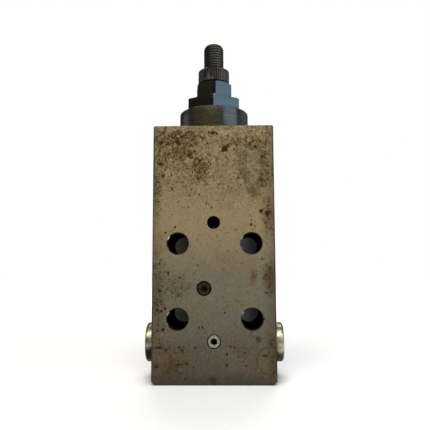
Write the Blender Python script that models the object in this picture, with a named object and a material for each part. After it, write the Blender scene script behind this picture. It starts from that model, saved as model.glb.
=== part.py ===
"""Hydraulic control valve: a drilled steel block, a screw-in relief cartridge on top and a cross spool below.

Metres, +Z up. The origin is the centre of the block's bottom face. The front face looks along -Y, the ported
mounting face along +Y, and the adjusting screw stands on the Z axis.
"""

import math

import bmesh
import bpy
from mathutils import Matrix

MM = 0.001

# Fits used all over the valve
SEAT_GAP = 0.3 * MM
BORE_GAP = 0.3 * MM
RING_GAP = 0.2 * MM

# Block
BLOCK_WIDTH = 80.0 * MM
BLOCK_DEPTH = 50.0 * MM
BLOCK_HEIGHT = 168.5 * MM
FOOT_CHAMFER = 2.2 * MM
SHOULDER_CHAMFER = 0.8 * MM
FACE_CHAMFER = 0.6 * MM

# Mounting holes, drilled right through from front to back
MOUNT_HOLE_DIAMETER = 13.5 * MM
MOUNT_HOLE_CHAMFER = 0.65 * MM
MOUNT_SPACING_ACROSS = 48.0 * MM
MOUNT_SPACING_UP = 48.5 * MM
MOUNT_CENTRE_HEIGHT = 65.4 * MM
MOUNT_CENTRE_OFFSET = 0.6 * MM

# Relief bore, down from the top face
CARTRIDGE_THREAD_DIAMETER = 27.0 * MM
CARTRIDGE_BORE_DEPTH = 31.5 * MM
CARTRIDGE_MOUTH_CHAMFER = 0.5 * MM
SPRING_CHAMBER_DIAMETER = 19.6 * MM
SEAT_FLOOR_HEIGHT = 70.0 * MM
SEAT_THICKNESS = 8.0 * MM
SEAT_DIAMETER = 16.0 * MM
FEED_DRILLING_DIAMETER = 9.0 * MM

# Ports and plugged drillings
GAUGE_PORT_DIAMETER = 8.3 * MM
GAUGE_PORT_HEIGHT = 103.3 * MM
FLANGE_PORT_DIAMETER = 12.0 * MM
TANK_PORT_HEIGHT = 85.0 * MM
PRESSURE_PORT_HEIGHT = 52.0 * MM
PORT_RING_MEAN_DIAMETER = 18.8 * MM
PORT_RING_WIRE = 2.1 * MM
PORT_GROOVE_WIDTH = 3.0 * MM
PORT_GROOVE_DEPTH = 2.5 * MM
MIDDLE_PLUG_DIAMETER = 9.1 * MM
MIDDLE_PLUG_LENGTH = 9.0 * MM
MIDDLE_PLUG_RECESS = 1.0 * MM
MIDDLE_PLUG_CHAMFER = 0.6 * MM
MIDDLE_PLUG_SOCKET = 5.0 * MM
MIDDLE_PLUG_SOCKET_DEPTH = 4.5 * MM
MIDDLE_PLUG_ACROSS = -6.3 * MM
MIDDLE_PLUG_HEIGHT = 60.7 * MM
MIDDLE_DRILLING_DIAMETER = 6.0 * MM
LOWER_PLUG_DIAMETER = 7.8 * MM
LOWER_PLUG_LENGTH = 8.0 * MM
LOWER_PLUG_RECESS = 0.2 * MM
LOWER_PLUG_CHAMFER = 0.2 * MM
LOWER_PLUG_SOCKET = 4.0 * MM
LOWER_PLUG_SOCKET_DEPTH = 4.0 * MM
LOWER_PLUG_HEIGHT = 27.0 * MM
LOWER_MOUTH_CHAMFER = 0.4 * MM
LOWER_DRILLING_DIAMETER = 5.0 * MM

# Spool and its bore, across the block from side to side
SPOOL_HEIGHT = 23.4 * MM
SPOOL_DIAMETER = 14.0 * MM
SPOOL_LENGTH = 36.0 * MM
SPOOL_GROOVE_DIAMETER = 10.0 * MM
SPOOL_CENTRE_LAND = 8.0 * MM
SPOOL_END_LAND = 8.0 * MM
SPOOL_CHAMFER = 0.8 * MM
SPOOL_TRAVEL = 4.0 * MM
SPOOL_CHAMBER_DIAMETER = 17.0 * MM
SPOOL_STOP_CLEARANCE = 0.2 * MM
SPOOL_SPRING_DIAMETER = 9.2 * MM
SPOOL_SPRING_WIRE = 1.2 * MM
SPOOL_SPRING_TURNS = 6
CUP_THICKNESS = 1.5 * MM
CUP_RIM_INSET = 0.4 * MM
CUP_BOSS_LENGTH = 2.0 * MM
CUP_BOSS_GAP = 0.6 * MM

# End plugs that close the spool bore
PLUG_HEAD_DIAMETER = 26.0 * MM
PLUG_HEAD_CHAMFER = 0.9 * MM
PLUG_STAND_OUT = 6.2 * MM
PLUG_THREAD_DIAMETER = 21.4 * MM
PLUG_THREAD_LENGTH = 10.0 * MM
PLUG_THREAD_CHAMFER = 0.8 * MM
PLUG_UNDERCUT = 0.2 * MM
PLUG_UNDERCUT_LENGTH = 2.8 * MM
PLUG_SOCKET = 12.0 * MM
PLUG_SOCKET_DEPTH = 7.5 * MM
PLUG_FLOOR = 2.7 * MM
PLUG_SPRING_GAP = 0.8 * MM
PLUG_RING_WIRE = 1.6 * MM
PLUG_POCKET_DEPTH = 2.0 * MM

# Spacer collar on the block's top face
COLLAR_DIAMETER = 48.6 * MM
COLLAR_HEIGHT = 14.2 * MM
COLLAR_CHAMFER = 0.5 * MM

# Cartridge housing
HOUSING_ACROSS_FLATS = 36.0 * MM
HOUSING_HEX_HEIGHT = 9.1 * MM
HOUSING_HEX_CHAMFER = 0.5 * MM
HOUSING_TURN = math.radians(1.0)
HOUSING_SPRING_BORE = 19.0 * MM
HOUSING_NOSE_CHAMFER = 0.8 * MM
HOUSING_RING_WIRE = 1.9 * MM
HOUSING_GROOVE_ABOVE_NOSE = 2.2 * MM
HOUSING_MOUTH_CHAMFER = 0.5 * MM

# Lock nut and its sealing ring
NUT_ACROSS_FLATS = 24.0 * MM
NUT_HEIGHT = 12.3 * MM
NUT_FACE_DIAMETER = 23.8 * MM
NUT_CHAMFER_ANGLE = math.radians(30.0)
NUT_TURN = math.radians(5.5)
NUT_LIFT = 0.75 * MM
NUT_CLEARANCE = 0.25 * MM
NUT_RING_WIDTH = 1.3 * MM
NUT_RING_THICKNESS = 1.7 * MM

# Adjusting spindle: foot, thread, serrated knob seat and stud, turned as one piece
SPINDLE_DIAMETER = 16.0 * MM
SPINDLE_TRAVEL = 6.0 * MM
SPINDLE_STOP_CLEARANCE = 0.4 * MM
SPINDLE_BELOW_STOP = 3.2 * MM
SPINDLE_CHAMFER = 1.0 * MM
SPINDLE_RING_WIRE = 1.25 * MM
SPINDLE_RING_ABOVE_STOP = 1.4 * MM
SERRATION_DIAMETER = 22.0 * MM
SERRATION_RIBS = 50
SERRATION_DEPTH = 0.65 * MM
SERRATION_LENGTH = 9.5 * MM
SERRATION_CHAMFER = 0.6 * MM
STUD_DIAMETER = 13.9 * MM
STUD_LENGTH = 19.9 * MM
STUD_CHAMFER = 1.4 * MM
STUD_ROOT_INSET = 3.0 * MM
CIRCLIP_WIDTH = 1.6 * MM
CIRCLIP_THICKNESS = 0.9 * MM
CIRCLIP_GROOVE_DEPTH = 0.8 * MM
CIRCLIP_OPENING = 5.0 * MM

# Spring plate, relief spring and poppet
PLATE_ABOVE_NOSE = 20.4 * MM
PLATE_RIM_INSET = 0.5 * MM
PLATE_THICKNESS = 3.2 * MM
SPRING_GUIDE_LENGTH = 4.0 * MM
SPRING_GUIDE_GAP = 1.2 * MM
RELIEF_SPRING_DIAMETER = 14.0 * MM
RELIEF_SPRING_WIRE = 2.4 * MM
RELIEF_SPRING_TURNS = 9
SEAT_HOLE_DIAMETER = 6.4 * MM
SEAT_CONE_DEPTH = 1.5 * MM
SEAT_GROOVE_HEIGHT = 3.0 * MM
SEAT_RING_WIRE = 1.2 * MM
POPPET_TIP_DIAMETER = 3.0 * MM
POPPET_STEM_DIAMETER = 10.0 * MM
POPPET_COLLAR_ABOVE_SEAT = 18.0 * MM
POPPET_COLLAR_THICKNESS = 3.5 * MM
POPPET_RIM_INSET = 0.5 * MM

# Faces that the pieces are stacked from
FRONT = -BLOCK_DEPTH / 2
BACK = BLOCK_DEPTH / 2
SIDE = BLOCK_WIDTH / 2
SHOULDER = BLOCK_HEIGHT - CARTRIDGE_BORE_DEPTH
SEAT_TOP = SEAT_FLOOR_HEIGHT + SEAT_THICKNESS
COLLAR_BOTTOM = BLOCK_HEIGHT + SEAT_GAP
COLLAR_TOP = COLLAR_BOTTOM + COLLAR_HEIGHT
HEX_BOTTOM = COLLAR_TOP + SEAT_GAP
HEX_TOP = HEX_BOTTOM + HOUSING_HEX_HEIGHT
NUT_BOTTOM = HEX_TOP + SEAT_GAP
NUT_TOP = NUT_BOTTOM + NUT_HEIGHT
SERRATION_BOTTOM = NUT_TOP + NUT_LIFT + NUT_CLEARANCE
SERRATION_TOP = SERRATION_BOTTOM + SERRATION_LENGTH
STUD_TOP = SERRATION_TOP + STUD_LENGTH
NOSE = SHOULDER + SEAT_GAP

# Radii that two pieces share
CARTRIDGE_RADIUS = CARTRIDGE_THREAD_DIAMETER / 2
SPINDLE_RADIUS = SPINDLE_DIAMETER / 2
PLUG_RADIUS = PLUG_THREAD_DIAMETER / 2
SPOOL_RADIUS = SPOOL_DIAMETER / 2
SEAT_RADIUS = SEAT_DIAMETER / 2
SPRING_GUIDE_RADIUS = (RELIEF_SPRING_DIAMETER - RELIEF_SPRING_WIRE) / 2 - SPRING_GUIDE_GAP
NUT_RING_INNER = SPINDLE_RADIUS + BORE_GAP
NUT_RING_OUTER = NUT_RING_INNER + NUT_RING_WIDTH

# Places along the spindle, from the foot up
PLATE_TOP = NOSE + PLATE_ABOVE_NOSE
FOOT = PLATE_TOP + SEAT_GAP
CIRCLIP_TOP = FOOT + SPINDLE_BELOW_STOP
STOP_FACE = CIRCLIP_TOP + SPINDLE_TRAVEL + SPINDLE_STOP_CLEARANCE

# How finely round shapes are divided
COARSE = 18
MEDIUM = 28
FINE = 48
RING_SIDES = 6
COIL_STEPS = 10
COIL_SIDES = 5
CUT_OVERRUN = 2.0 * MM
WELD_DISTANCE = 0.001 * MM
SHARP_ANGLE = math.radians(30.0)
END_TURN_CLOSING = 0.45

FACING = {
    "up": (0, 0, 0),
    "right": (0, math.pi / 2, 0),
    "left": (0, -math.pi / 2, 0),
    "front": (math.pi / 2, 0, 0),
    "back": (-math.pi / 2, 0, 0),
}


def clear_scene():
    for old in list(bpy.data.objects):
        bpy.data.objects.remove(old, do_unlink=True)


def finish_of(name, colour, roughness, metallic):
    material = bpy.data.materials.new(name)
    material.use_nodes = True
    shader = material.node_tree.nodes["Principled BSDF"]
    shader.inputs["Base Color"].default_value = (*colour, 1)
    shader.inputs["Roughness"].default_value = roughness
    shader.inputs["Metallic"].default_value = metallic
    return material


def place(name, bm, finish, at, facing):
    """Puts a finished bmesh in the scene as a smooth-shaded object."""
    mesh = bpy.data.meshes.new(name)
    bm.to_mesh(mesh)
    bm.free()
    mesh.shade_smooth()
    mesh.set_sharp_from_angle(angle=SHARP_ANGLE)
    if finish:
        mesh.materials.append(finish)
    piece = bpy.data.objects.new(name, mesh)
    piece.location = at
    piece.rotation_euler = FACING[facing]
    bpy.context.scene.collection.objects.link(piece)
    return piece


def turned(name, outline, finish=None, at=(0, 0, 0), facing="up", segments=MEDIUM):
    """A lathe-turned solid from (radius, height) points, which end on the axis or close on themselves."""
    bm = bmesh.new()
    corners = [bm.verts.new((radius, 0, height)) for radius, height in outline]
    edges = [bm.edges.new(pair) for pair in zip(corners, corners[1:])]
    if outline[0][0] > 0:
        edges.append(bm.edges.new((corners[-1], corners[0])))
    bmesh.ops.spin(
        bm,
        geom=corners + edges,
        cent=(0, 0, 0),
        axis=(0, 0, 1),
        angle=math.tau,
        steps=segments,
        use_merge=True,
    )
    bmesh.ops.remove_doubles(bm, verts=bm.verts, dist=WELD_DISTANCE)
    bmesh.ops.recalc_face_normals(bm, faces=bm.faces)
    return place(name, bm, finish, at, facing)


def hexagon(name, across_flats, bottom, top, at=(0, 0, 0), facing="up", turn=0.0):
    """A hexagonal bar with one corner to the front, turned on by the given angle."""
    corner = across_flats / math.sqrt(3)
    outline = [(0, bottom), (corner, bottom), (corner, top), (0, top)]
    bar = turned(name, outline, None, at, facing, segments=6)
    bar.data.transform(Matrix.Rotation(math.radians(30) + turn, 4, "Z"))
    return bar


def combine(piece, tool, operation):
    """Cuts, joins or trims a piece with a tool that isn't part of the valve."""
    step = piece.modifiers.new(tool.name, "BOOLEAN")
    step.operation = operation
    step.object = tool
    step.solver = "EXACT"
    tool.hide_render = True
    tool.display_type = "WIRE"


def ring_section(mean_radius, wire, height):
    """The round section of a rubber ring, as points round a circle."""
    return [
        (
            mean_radius + wire / 2 * math.cos(math.tau * step / RING_SIDES),
            height + wire / 2 * math.sin(math.tau * step / RING_SIDES),
        )
        for step in range(RING_SIDES)
    ]


def rubber_ring(name, mean_radius, wire, height, at=(0, 0, 0), facing="up"):
    return turned(name, ring_section(mean_radius, wire, height), RUBBER, at, facing)


def groove_for(wire):
    """(depth, width) of the groove that holds a ring of this wire in a cylindrical seal."""
    return wire + RING_GAP, wire + 2 * RING_GAP


def spring(name, mean_diameter, wire, turns, length, at, facing="up"):
    """A coil spring that starts at height 0, with its end turns closed down to a small pitch."""
    steps = turns * COIL_STEPS
    bm = bmesh.new()
    rings = []
    for step in range(steps + 1):
        share = step / steps
        angle = math.tau * turns * share
        # An S-shaped rise leaves the end turns close together and opens the middle ones.
        rise = share - END_TURN_CLOSING / turns * math.sin(math.tau * share)
        height = wire / 2 + (length - wire) * rise
        centre = (mean_diameter / 2 * math.cos(angle), mean_diameter / 2 * math.sin(angle), height)
        ring = []
        for side in range(COIL_SIDES):
            around = math.tau * side / COIL_SIDES
            out = wire / 2 * math.cos(around)
            ring.append(
                bm.verts.new(
                    (
                        centre[0] + out * math.cos(angle),
                        centre[1] + out * math.sin(angle),
                        centre[2] + wire / 2 * math.sin(around),
                    )
                )
            )
        rings.append(ring)
    for lower, upper in zip(rings, rings[1:]):
        for side in range(COIL_SIDES):
            after = (side + 1) % COIL_SIDES
            bm.faces.new((lower[side], lower[after], upper[after], upper[side]))
    bm.faces.new(rings[0])
    bm.faces.new(rings[-1])
    bmesh.ops.recalc_face_normals(bm, faces=bm.faces)
    return place(name, bm, SPRING_STEEL, at, facing)


def block_blank():
    """The sawn and milled bar: its front outline extruded through the depth, then the face edges broken."""
    bm = bmesh.new()
    outline = [
        (-SIDE + FOOT_CHAMFER, 0),
        (SIDE - FOOT_CHAMFER, 0),
        (SIDE, FOOT_CHAMFER),
        (SIDE, BLOCK_HEIGHT - SHOULDER_CHAMFER),
        (SIDE - SHOULDER_CHAMFER, BLOCK_HEIGHT),
        (-SIDE + SHOULDER_CHAMFER, BLOCK_HEIGHT),
        (-SIDE, BLOCK_HEIGHT - SHOULDER_CHAMFER),
        (-SIDE, FOOT_CHAMFER),
    ]
    front = bm.faces.new([bm.verts.new((x, FRONT, z)) for x, z in outline])
    grown = bmesh.ops.extrude_face_region(bm, geom=[front])
    back_corners = [part for part in grown["geom"] if isinstance(part, bmesh.types.BMVert)]
    bmesh.ops.translate(bm, verts=back_corners, vec=(0, BLOCK_DEPTH, 0))
    bmesh.ops.recalc_face_normals(bm, faces=bm.faces)
    face_edges = [edge for edge in bm.edges if edge.verts[0].co.y == edge.verts[1].co.y]
    bmesh.ops.bevel(bm, geom=face_edges, offset=FACE_CHAMFER, segments=1, affect="EDGES")
    return place("valve_body", bm, BODY_STEEL, (0, 0, 0), "up")


def valve_body():
    body = block_blank()
    cartridge = CARTRIDGE_RADIUS + BORE_GAP
    pocket = SEAT_RADIUS + BORE_GAP
    relief_bore = turned(
        "relief_bore_cutter",
        [
            (0, SPOOL_HEIGHT),
            (FEED_DRILLING_DIAMETER / 2, SPOOL_HEIGHT),
            (FEED_DRILLING_DIAMETER / 2, SEAT_FLOOR_HEIGHT),
            (pocket, SEAT_FLOOR_HEIGHT),
            (pocket, SEAT_TOP),
            (SPRING_CHAMBER_DIAMETER / 2, SEAT_TOP),
            (SPRING_CHAMBER_DIAMETER / 2, SHOULDER),
            (cartridge, SHOULDER),
            (cartridge, BLOCK_HEIGHT - CARTRIDGE_MOUTH_CHAMFER),
            (cartridge + CARTRIDGE_MOUTH_CHAMFER, BLOCK_HEIGHT),
            (cartridge + CARTRIDGE_MOUTH_CHAMFER, BLOCK_HEIGHT + CUT_OVERRUN),
            (0, BLOCK_HEIGHT + CUT_OVERRUN),
        ],
    )
    combine(body, relief_bore, "DIFFERENCE")
    combine(body, spool_bore_cutter(), "DIFFERENCE")
    for cutter in mounting_hole_cutters() + port_cutters() + drilling_cutters():
        combine(body, cutter, "DIFFERENCE")
    return body


def spool_bore_cutter():
    spool = SPOOL_RADIUS + BORE_GAP
    chamber = SPOOL_CHAMBER_DIAMETER / 2
    plug = PLUG_RADIUS + BORE_GAP
    plug_floor = SIDE - PLUG_THREAD_LENGTH
    chamber_floor = spool_spring_seat() + SPOOL_TRAVEL + SPOOL_STOP_CLEARANCE
    pocket = plug_pocket_radius()
    pocket_floor = SIDE - PLUG_POCKET_DEPTH
    one_side = [
        (spool, chamber_floor),
        (chamber, chamber_floor),
        (chamber, plug_floor),
        (plug, plug_floor),
        (plug, pocket_floor),
        (pocket, pocket_floor),
        (pocket, SIDE + CUT_OVERRUN),
        (0, SIDE + CUT_OVERRUN),
    ]
    other_side = [(radius, -place_along) for radius, place_along in reversed(one_side)]
    return turned("spool_bore_cutter", other_side + one_side, None, (0, 0, SPOOL_HEIGHT), "right")


def mounting_hole_cutters():
    radius = MOUNT_HOLE_DIAMETER / 2
    wide = radius + MOUNT_HOLE_CHAMFER
    half = [
        (radius, BACK - MOUNT_HOLE_CHAMFER),
        (wide, BACK),
        (wide, BACK + CUT_OVERRUN),
        (0, BACK + CUT_OVERRUN),
    ]
    outline = [(radius, -place_along) for radius, place_along in reversed(half)] + half
    cutters = []
    for row, up in (("lower", -1), ("upper", 1)):
        for column, across in (("left", -1), ("right", 1)):
            centre = (
                MOUNT_CENTRE_OFFSET + across * MOUNT_SPACING_ACROSS / 2,
                0,
                MOUNT_CENTRE_HEIGHT + up * MOUNT_SPACING_UP / 2,
            )
            cutters.append(turned(f"mount_hole_cutter_{row}_{column}", outline, None, centre, "front"))
    return cutters


def straight_drill(name, diameter, depth, at, facing):
    radius = diameter / 2
    outline = [(0, -depth), (radius, -depth), (radius, CUT_OVERRUN), (0, CUT_OVERRUN)]
    return turned(name, outline, None, at, facing, segments=COARSE)


def port_cutters():
    mean = PORT_RING_MEAN_DIAMETER / 2
    inner = mean - PORT_GROOVE_WIDTH / 2
    outer = mean + PORT_GROOVE_WIDTH / 2
    groove = [
        (inner, -PORT_GROOVE_DEPTH),
        (outer, -PORT_GROOVE_DEPTH),
        (outer, CUT_OVERRUN),
        (inner, CUT_OVERRUN),
    ]
    gauge_mouth = (0, FRONT, GAUGE_PORT_HEIGHT)
    cutters = [straight_drill("gauge_port_cutter", GAUGE_PORT_DIAMETER, BACK, gauge_mouth, "front")]
    for port, height in (("tank", TANK_PORT_HEIGHT), ("pressure", PRESSURE_PORT_HEIGHT)):
        mouth = (0, BACK, height)
        cutters.append(straight_drill(f"{port}_port_cutter", FLANGE_PORT_DIAMETER, BACK, mouth, "back"))
        cutters.append(turned(f"{port}_groove_cutter", groove, None, mouth, "back"))
    return cutters


def drilling_cutters():
    """The two front drillings: each has a plug thread at its mouth and a narrower hole on to its bore."""
    middle = MIDDLE_PLUG_DIAMETER / 2 + BORE_GAP
    middle_floor = MIDDLE_PLUG_RECESS + MIDDLE_PLUG_LENGTH + SEAT_GAP
    lower = LOWER_PLUG_DIAMETER / 2 + BORE_GAP
    lower_floor = LOWER_PLUG_RECESS + LOWER_PLUG_LENGTH + SEAT_GAP
    middle_outline = [
        (0, FRONT),
        (MIDDLE_DRILLING_DIAMETER / 2, FRONT),
        (MIDDLE_DRILLING_DIAMETER / 2, -middle_floor),
        (middle, -middle_floor),
        (middle, CUT_OVERRUN),
        (0, CUT_OVERRUN),
    ]
    lower_outline = [
        (0, FRONT),
        (LOWER_DRILLING_DIAMETER / 2, FRONT),
        (LOWER_DRILLING_DIAMETER / 2, -lower_floor),
        (lower, -lower_floor),
        (lower, -LOWER_MOUTH_CHAMFER),
        (lower + LOWER_MOUTH_CHAMFER, 0),
        (lower + LOWER_MOUTH_CHAMFER, CUT_OVERRUN),
        (0, CUT_OVERRUN),
    ]
    middle_mouth = (MIDDLE_PLUG_ACROSS, FRONT, MIDDLE_PLUG_HEIGHT)
    return [
        turned("middle_drilling_cutter", middle_outline, None, middle_mouth, "front"),
        turned("lower_drilling_cutter", lower_outline, None, (0, FRONT, LOWER_PLUG_HEIGHT), "front"),
    ]


def socket_screw_plug(name, diameter, length, recess, chamfer, socket, socket_depth, at):
    radius = diameter / 2
    outline = [
        (0, -recess - length),
        (radius - chamfer, -recess - length),
        (radius, -recess - length + chamfer),
        (radius, -recess - chamfer),
        (radius - chamfer, -recess),
        (0, -recess),
    ]
    plug = turned(name, outline, PLUG_STEEL, at, "front")
    key = hexagon(f"{name}_socket_cutter", socket, -recess - socket_depth, CUT_OVERRUN, at, "front")
    combine(plug, key, "DIFFERENCE")
    return plug


def front_plugs():
    socket_screw_plug(
        "middle_plug",
        MIDDLE_PLUG_DIAMETER,
        MIDDLE_PLUG_LENGTH,
        MIDDLE_PLUG_RECESS,
        MIDDLE_PLUG_CHAMFER,
        MIDDLE_PLUG_SOCKET,
        MIDDLE_PLUG_SOCKET_DEPTH,
        (MIDDLE_PLUG_ACROSS, FRONT, MIDDLE_PLUG_HEIGHT),
    )
    socket_screw_plug(
        "lower_plug",
        LOWER_PLUG_DIAMETER,
        LOWER_PLUG_LENGTH,
        LOWER_PLUG_RECESS,
        LOWER_PLUG_CHAMFER,
        LOWER_PLUG_SOCKET,
        LOWER_PLUG_SOCKET_DEPTH,
        (0, FRONT, LOWER_PLUG_HEIGHT),
    )


def port_rings():
    depth = PORT_GROOVE_DEPTH - PORT_RING_WIRE / 2 - SEAT_GAP
    mean = PORT_RING_MEAN_DIAMETER / 2
    for port, height in (("tank", TANK_PORT_HEIGHT), ("pressure", PRESSURE_PORT_HEIGHT)):
        rubber_ring(f"{port}_port_ring", mean, PORT_RING_WIRE, -depth, (0, BACK, height), "back")


def plug_ring_radius():
    """Mean radius of the ring that sits round an end plug, just under its head."""
    return PLUG_RADIUS - PLUG_UNDERCUT + BORE_GAP + PLUG_RING_WIRE / 2


def plug_pocket_radius():
    return plug_ring_radius() + PLUG_RING_WIRE / 2 + RING_GAP


def spool_spring_seat():
    """Outward face of a spring cup, measured from the middle of the block."""
    return SPOOL_LENGTH / 2 + SEAT_GAP + CUP_THICKNESS


def end_plug(side):
    spring_bore = SPOOL_SPRING_DIAMETER / 2 + SPOOL_SPRING_WIRE / 2 + PLUG_SPRING_GAP
    inner_end = -PLUG_THREAD_LENGTH + SEAT_GAP
    spring_floor = PLUG_STAND_OUT - PLUG_SOCKET_DEPTH - PLUG_FLOOR
    head = PLUG_HEAD_DIAMETER / 2
    outline = [
        (0, spring_floor),
        (spring_bore, spring_floor),
        (spring_bore, inner_end),
        (PLUG_RADIUS - PLUG_THREAD_CHAMFER, inner_end),
        (PLUG_RADIUS, inner_end + PLUG_THREAD_CHAMFER),
        (PLUG_RADIUS, -PLUG_UNDERCUT_LENGTH),
        (PLUG_RADIUS - PLUG_UNDERCUT, -PLUG_UNDERCUT_LENGTH + PLUG_UNDERCUT),
        (PLUG_RADIUS - PLUG_UNDERCUT, SEAT_GAP),
        (head, SEAT_GAP),
        (head, PLUG_STAND_OUT - PLUG_HEAD_CHAMFER),
        (head - PLUG_HEAD_CHAMFER, PLUG_STAND_OUT),
        (0, PLUG_STAND_OUT),
    ]
    at = (side_of(side) * SIDE, 0, SPOOL_HEIGHT)
    plug = turned(f"end_plug_{side}", outline, ZINC, at, side)
    key = hexagon(
        f"end_plug_{side}_socket_cutter",
        PLUG_SOCKET,
        PLUG_STAND_OUT - PLUG_SOCKET_DEPTH,
        PLUG_STAND_OUT + CUT_OVERRUN,
        at,
        side,
    )
    combine(plug, key, "DIFFERENCE")
    ring_height = -PLUG_POCKET_DEPTH + RING_GAP + PLUG_RING_WIRE / 2
    rubber_ring(f"end_plug_ring_{side}", plug_ring_radius(), PLUG_RING_WIRE, ring_height, at, side)
    return SIDE + spring_floor


def side_of(side):
    return 1 if side == "right" else -1


def spool_group():
    half = SPOOL_LENGTH / 2
    land = half - SPOOL_END_LAND
    groove = SPOOL_GROOVE_DIAMETER / 2
    one_side = [
        (SPOOL_RADIUS, SPOOL_CENTRE_LAND / 2),
        (groove, SPOOL_CENTRE_LAND / 2),
        (groove, land),
        (SPOOL_RADIUS, land),
        (SPOOL_RADIUS, half - SPOOL_CHAMFER),
        (SPOOL_RADIUS - SPOOL_CHAMFER, half),
        (0, half),
    ]
    other_side = [(radius, -place_along) for radius, place_along in reversed(one_side)]
    turned("main_spool", other_side + one_side, SPOOL_STEEL, (0, 0, SPOOL_HEIGHT), "right", segments=COARSE)
    rim = SPOOL_RADIUS - CUP_RIM_INSET
    boss = (SPOOL_SPRING_DIAMETER - SPOOL_SPRING_WIRE) / 2 - CUP_BOSS_GAP
    cup = [
        (0, half + SEAT_GAP),
        (rim, half + SEAT_GAP),
        (rim, spool_spring_seat()),
        (boss, spool_spring_seat()),
        (boss, spool_spring_seat() + CUP_BOSS_LENGTH),
        (0, spool_spring_seat() + CUP_BOSS_LENGTH),
    ]
    for side in ("left", "right"):
        spring_floor = end_plug(side)
        turned(f"spring_cup_{side}", cup, SPRING_STEEL, (0, 0, SPOOL_HEIGHT), side, segments=COARSE)
        seat = spool_spring_seat() + SEAT_GAP
        spring(
            f"spool_spring_{side}",
            SPOOL_SPRING_DIAMETER,
            SPOOL_SPRING_WIRE,
            SPOOL_SPRING_TURNS,
            spring_floor - SEAT_GAP - seat,
            (side_of(side) * seat, 0, SPOOL_HEIGHT),
            side,
        )


def spacer_collar():
    inner = CARTRIDGE_RADIUS + BORE_GAP
    outer = COLLAR_DIAMETER / 2
    turned(
        "spacer_collar",
        [
            (inner, COLLAR_BOTTOM),
            (outer - COLLAR_CHAMFER, COLLAR_BOTTOM),
            (outer, COLLAR_BOTTOM + COLLAR_CHAMFER),
            (outer, COLLAR_TOP - COLLAR_CHAMFER),
            (outer - COLLAR_CHAMFER, COLLAR_TOP),
            (inner, COLLAR_TOP),
        ],
        DARK_TURNED,
        segments=FINE,
    )


def cartridge_housing():
    groove_depth, groove_width = groove_for(HOUSING_RING_WIRE)
    groove = CARTRIDGE_RADIUS - groove_depth
    groove_bottom = NOSE + HOUSING_GROOVE_ABOVE_NOSE
    corner = HOUSING_ACROSS_FLATS / math.sqrt(3)
    thread = SPINDLE_RADIUS + BORE_GAP
    housing = turned(
        "cartridge_housing",
        [
            (HOUSING_SPRING_BORE / 2, NOSE),
            (CARTRIDGE_RADIUS - HOUSING_NOSE_CHAMFER, NOSE),
            (CARTRIDGE_RADIUS, NOSE + HOUSING_NOSE_CHAMFER),
            (CARTRIDGE_RADIUS, groove_bottom),
            (groove, groove_bottom),
            (groove, groove_bottom + groove_width),
            (CARTRIDGE_RADIUS, groove_bottom + groove_width),
            (CARTRIDGE_RADIUS, HEX_BOTTOM),
            (corner + CUT_OVERRUN, HEX_BOTTOM),
            (corner + CUT_OVERRUN, HEX_TOP - HOUSING_HEX_CHAMFER - CUT_OVERRUN),
            (corner - HOUSING_HEX_CHAMFER, HEX_TOP),
            (thread + HOUSING_MOUTH_CHAMFER, HEX_TOP),
            (thread, HEX_TOP - HOUSING_MOUTH_CHAMFER),
            (thread, STOP_FACE),
            (HOUSING_SPRING_BORE / 2, STOP_FACE),
        ],
        BLACK_STEEL,
    )
    bar = hexagon(
        "cartridge_housing_hex_bar",
        HOUSING_ACROSS_FLATS,
        NOSE - CUT_OVERRUN,
        HEX_TOP + CUT_OVERRUN,
        turn=HOUSING_TURN,
    )
    combine(housing, bar, "INTERSECT")
    mean = groove + RING_GAP / 2 + HOUSING_RING_WIRE / 2
    rubber_ring("housing_ring", mean, HOUSING_RING_WIRE, groove_bottom + groove_width / 2)


def lock_nut():
    corner = NUT_ACROSS_FLATS / math.sqrt(3) + CUT_OVERRUN
    face = NUT_FACE_DIAMETER / 2
    chamfer = (corner - face) * math.tan(NUT_CHAMFER_ANGLE)
    recess = NUT_RING_OUTER + BORE_GAP
    recess_top = NUT_RING_THICKNESS + SEAT_GAP
    nut = turned(
        "lock_nut",
        [
            (recess, 0),
            (face, 0),
            (corner, chamfer),
            (corner, NUT_HEIGHT - chamfer),
            (face, NUT_HEIGHT),
            (SPINDLE_RADIUS + BORE_GAP, NUT_HEIGHT),
            (SPINDLE_RADIUS + BORE_GAP, recess_top),
            (recess, recess_top),
        ],
        BLACK_STEEL,
        (0, 0, NUT_BOTTOM),
    )
    bar = hexagon(
        "lock_nut_hex_bar",
        NUT_ACROSS_FLATS,
        -CUT_OVERRUN,
        NUT_HEIGHT + CUT_OVERRUN,
        (0, 0, NUT_BOTTOM),
        turn=NUT_TURN,
    )
    combine(nut, bar, "INTERSECT")
    ring_outline = [
        (NUT_RING_INNER, 0),
        (NUT_RING_OUTER, 0),
        (NUT_RING_OUTER, NUT_RING_THICKNESS),
        (NUT_RING_INNER, NUT_RING_THICKNESS),
    ]
    turned("lock_nut_ring", ring_outline, RUBBER, (0, 0, NUT_BOTTOM))


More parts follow.
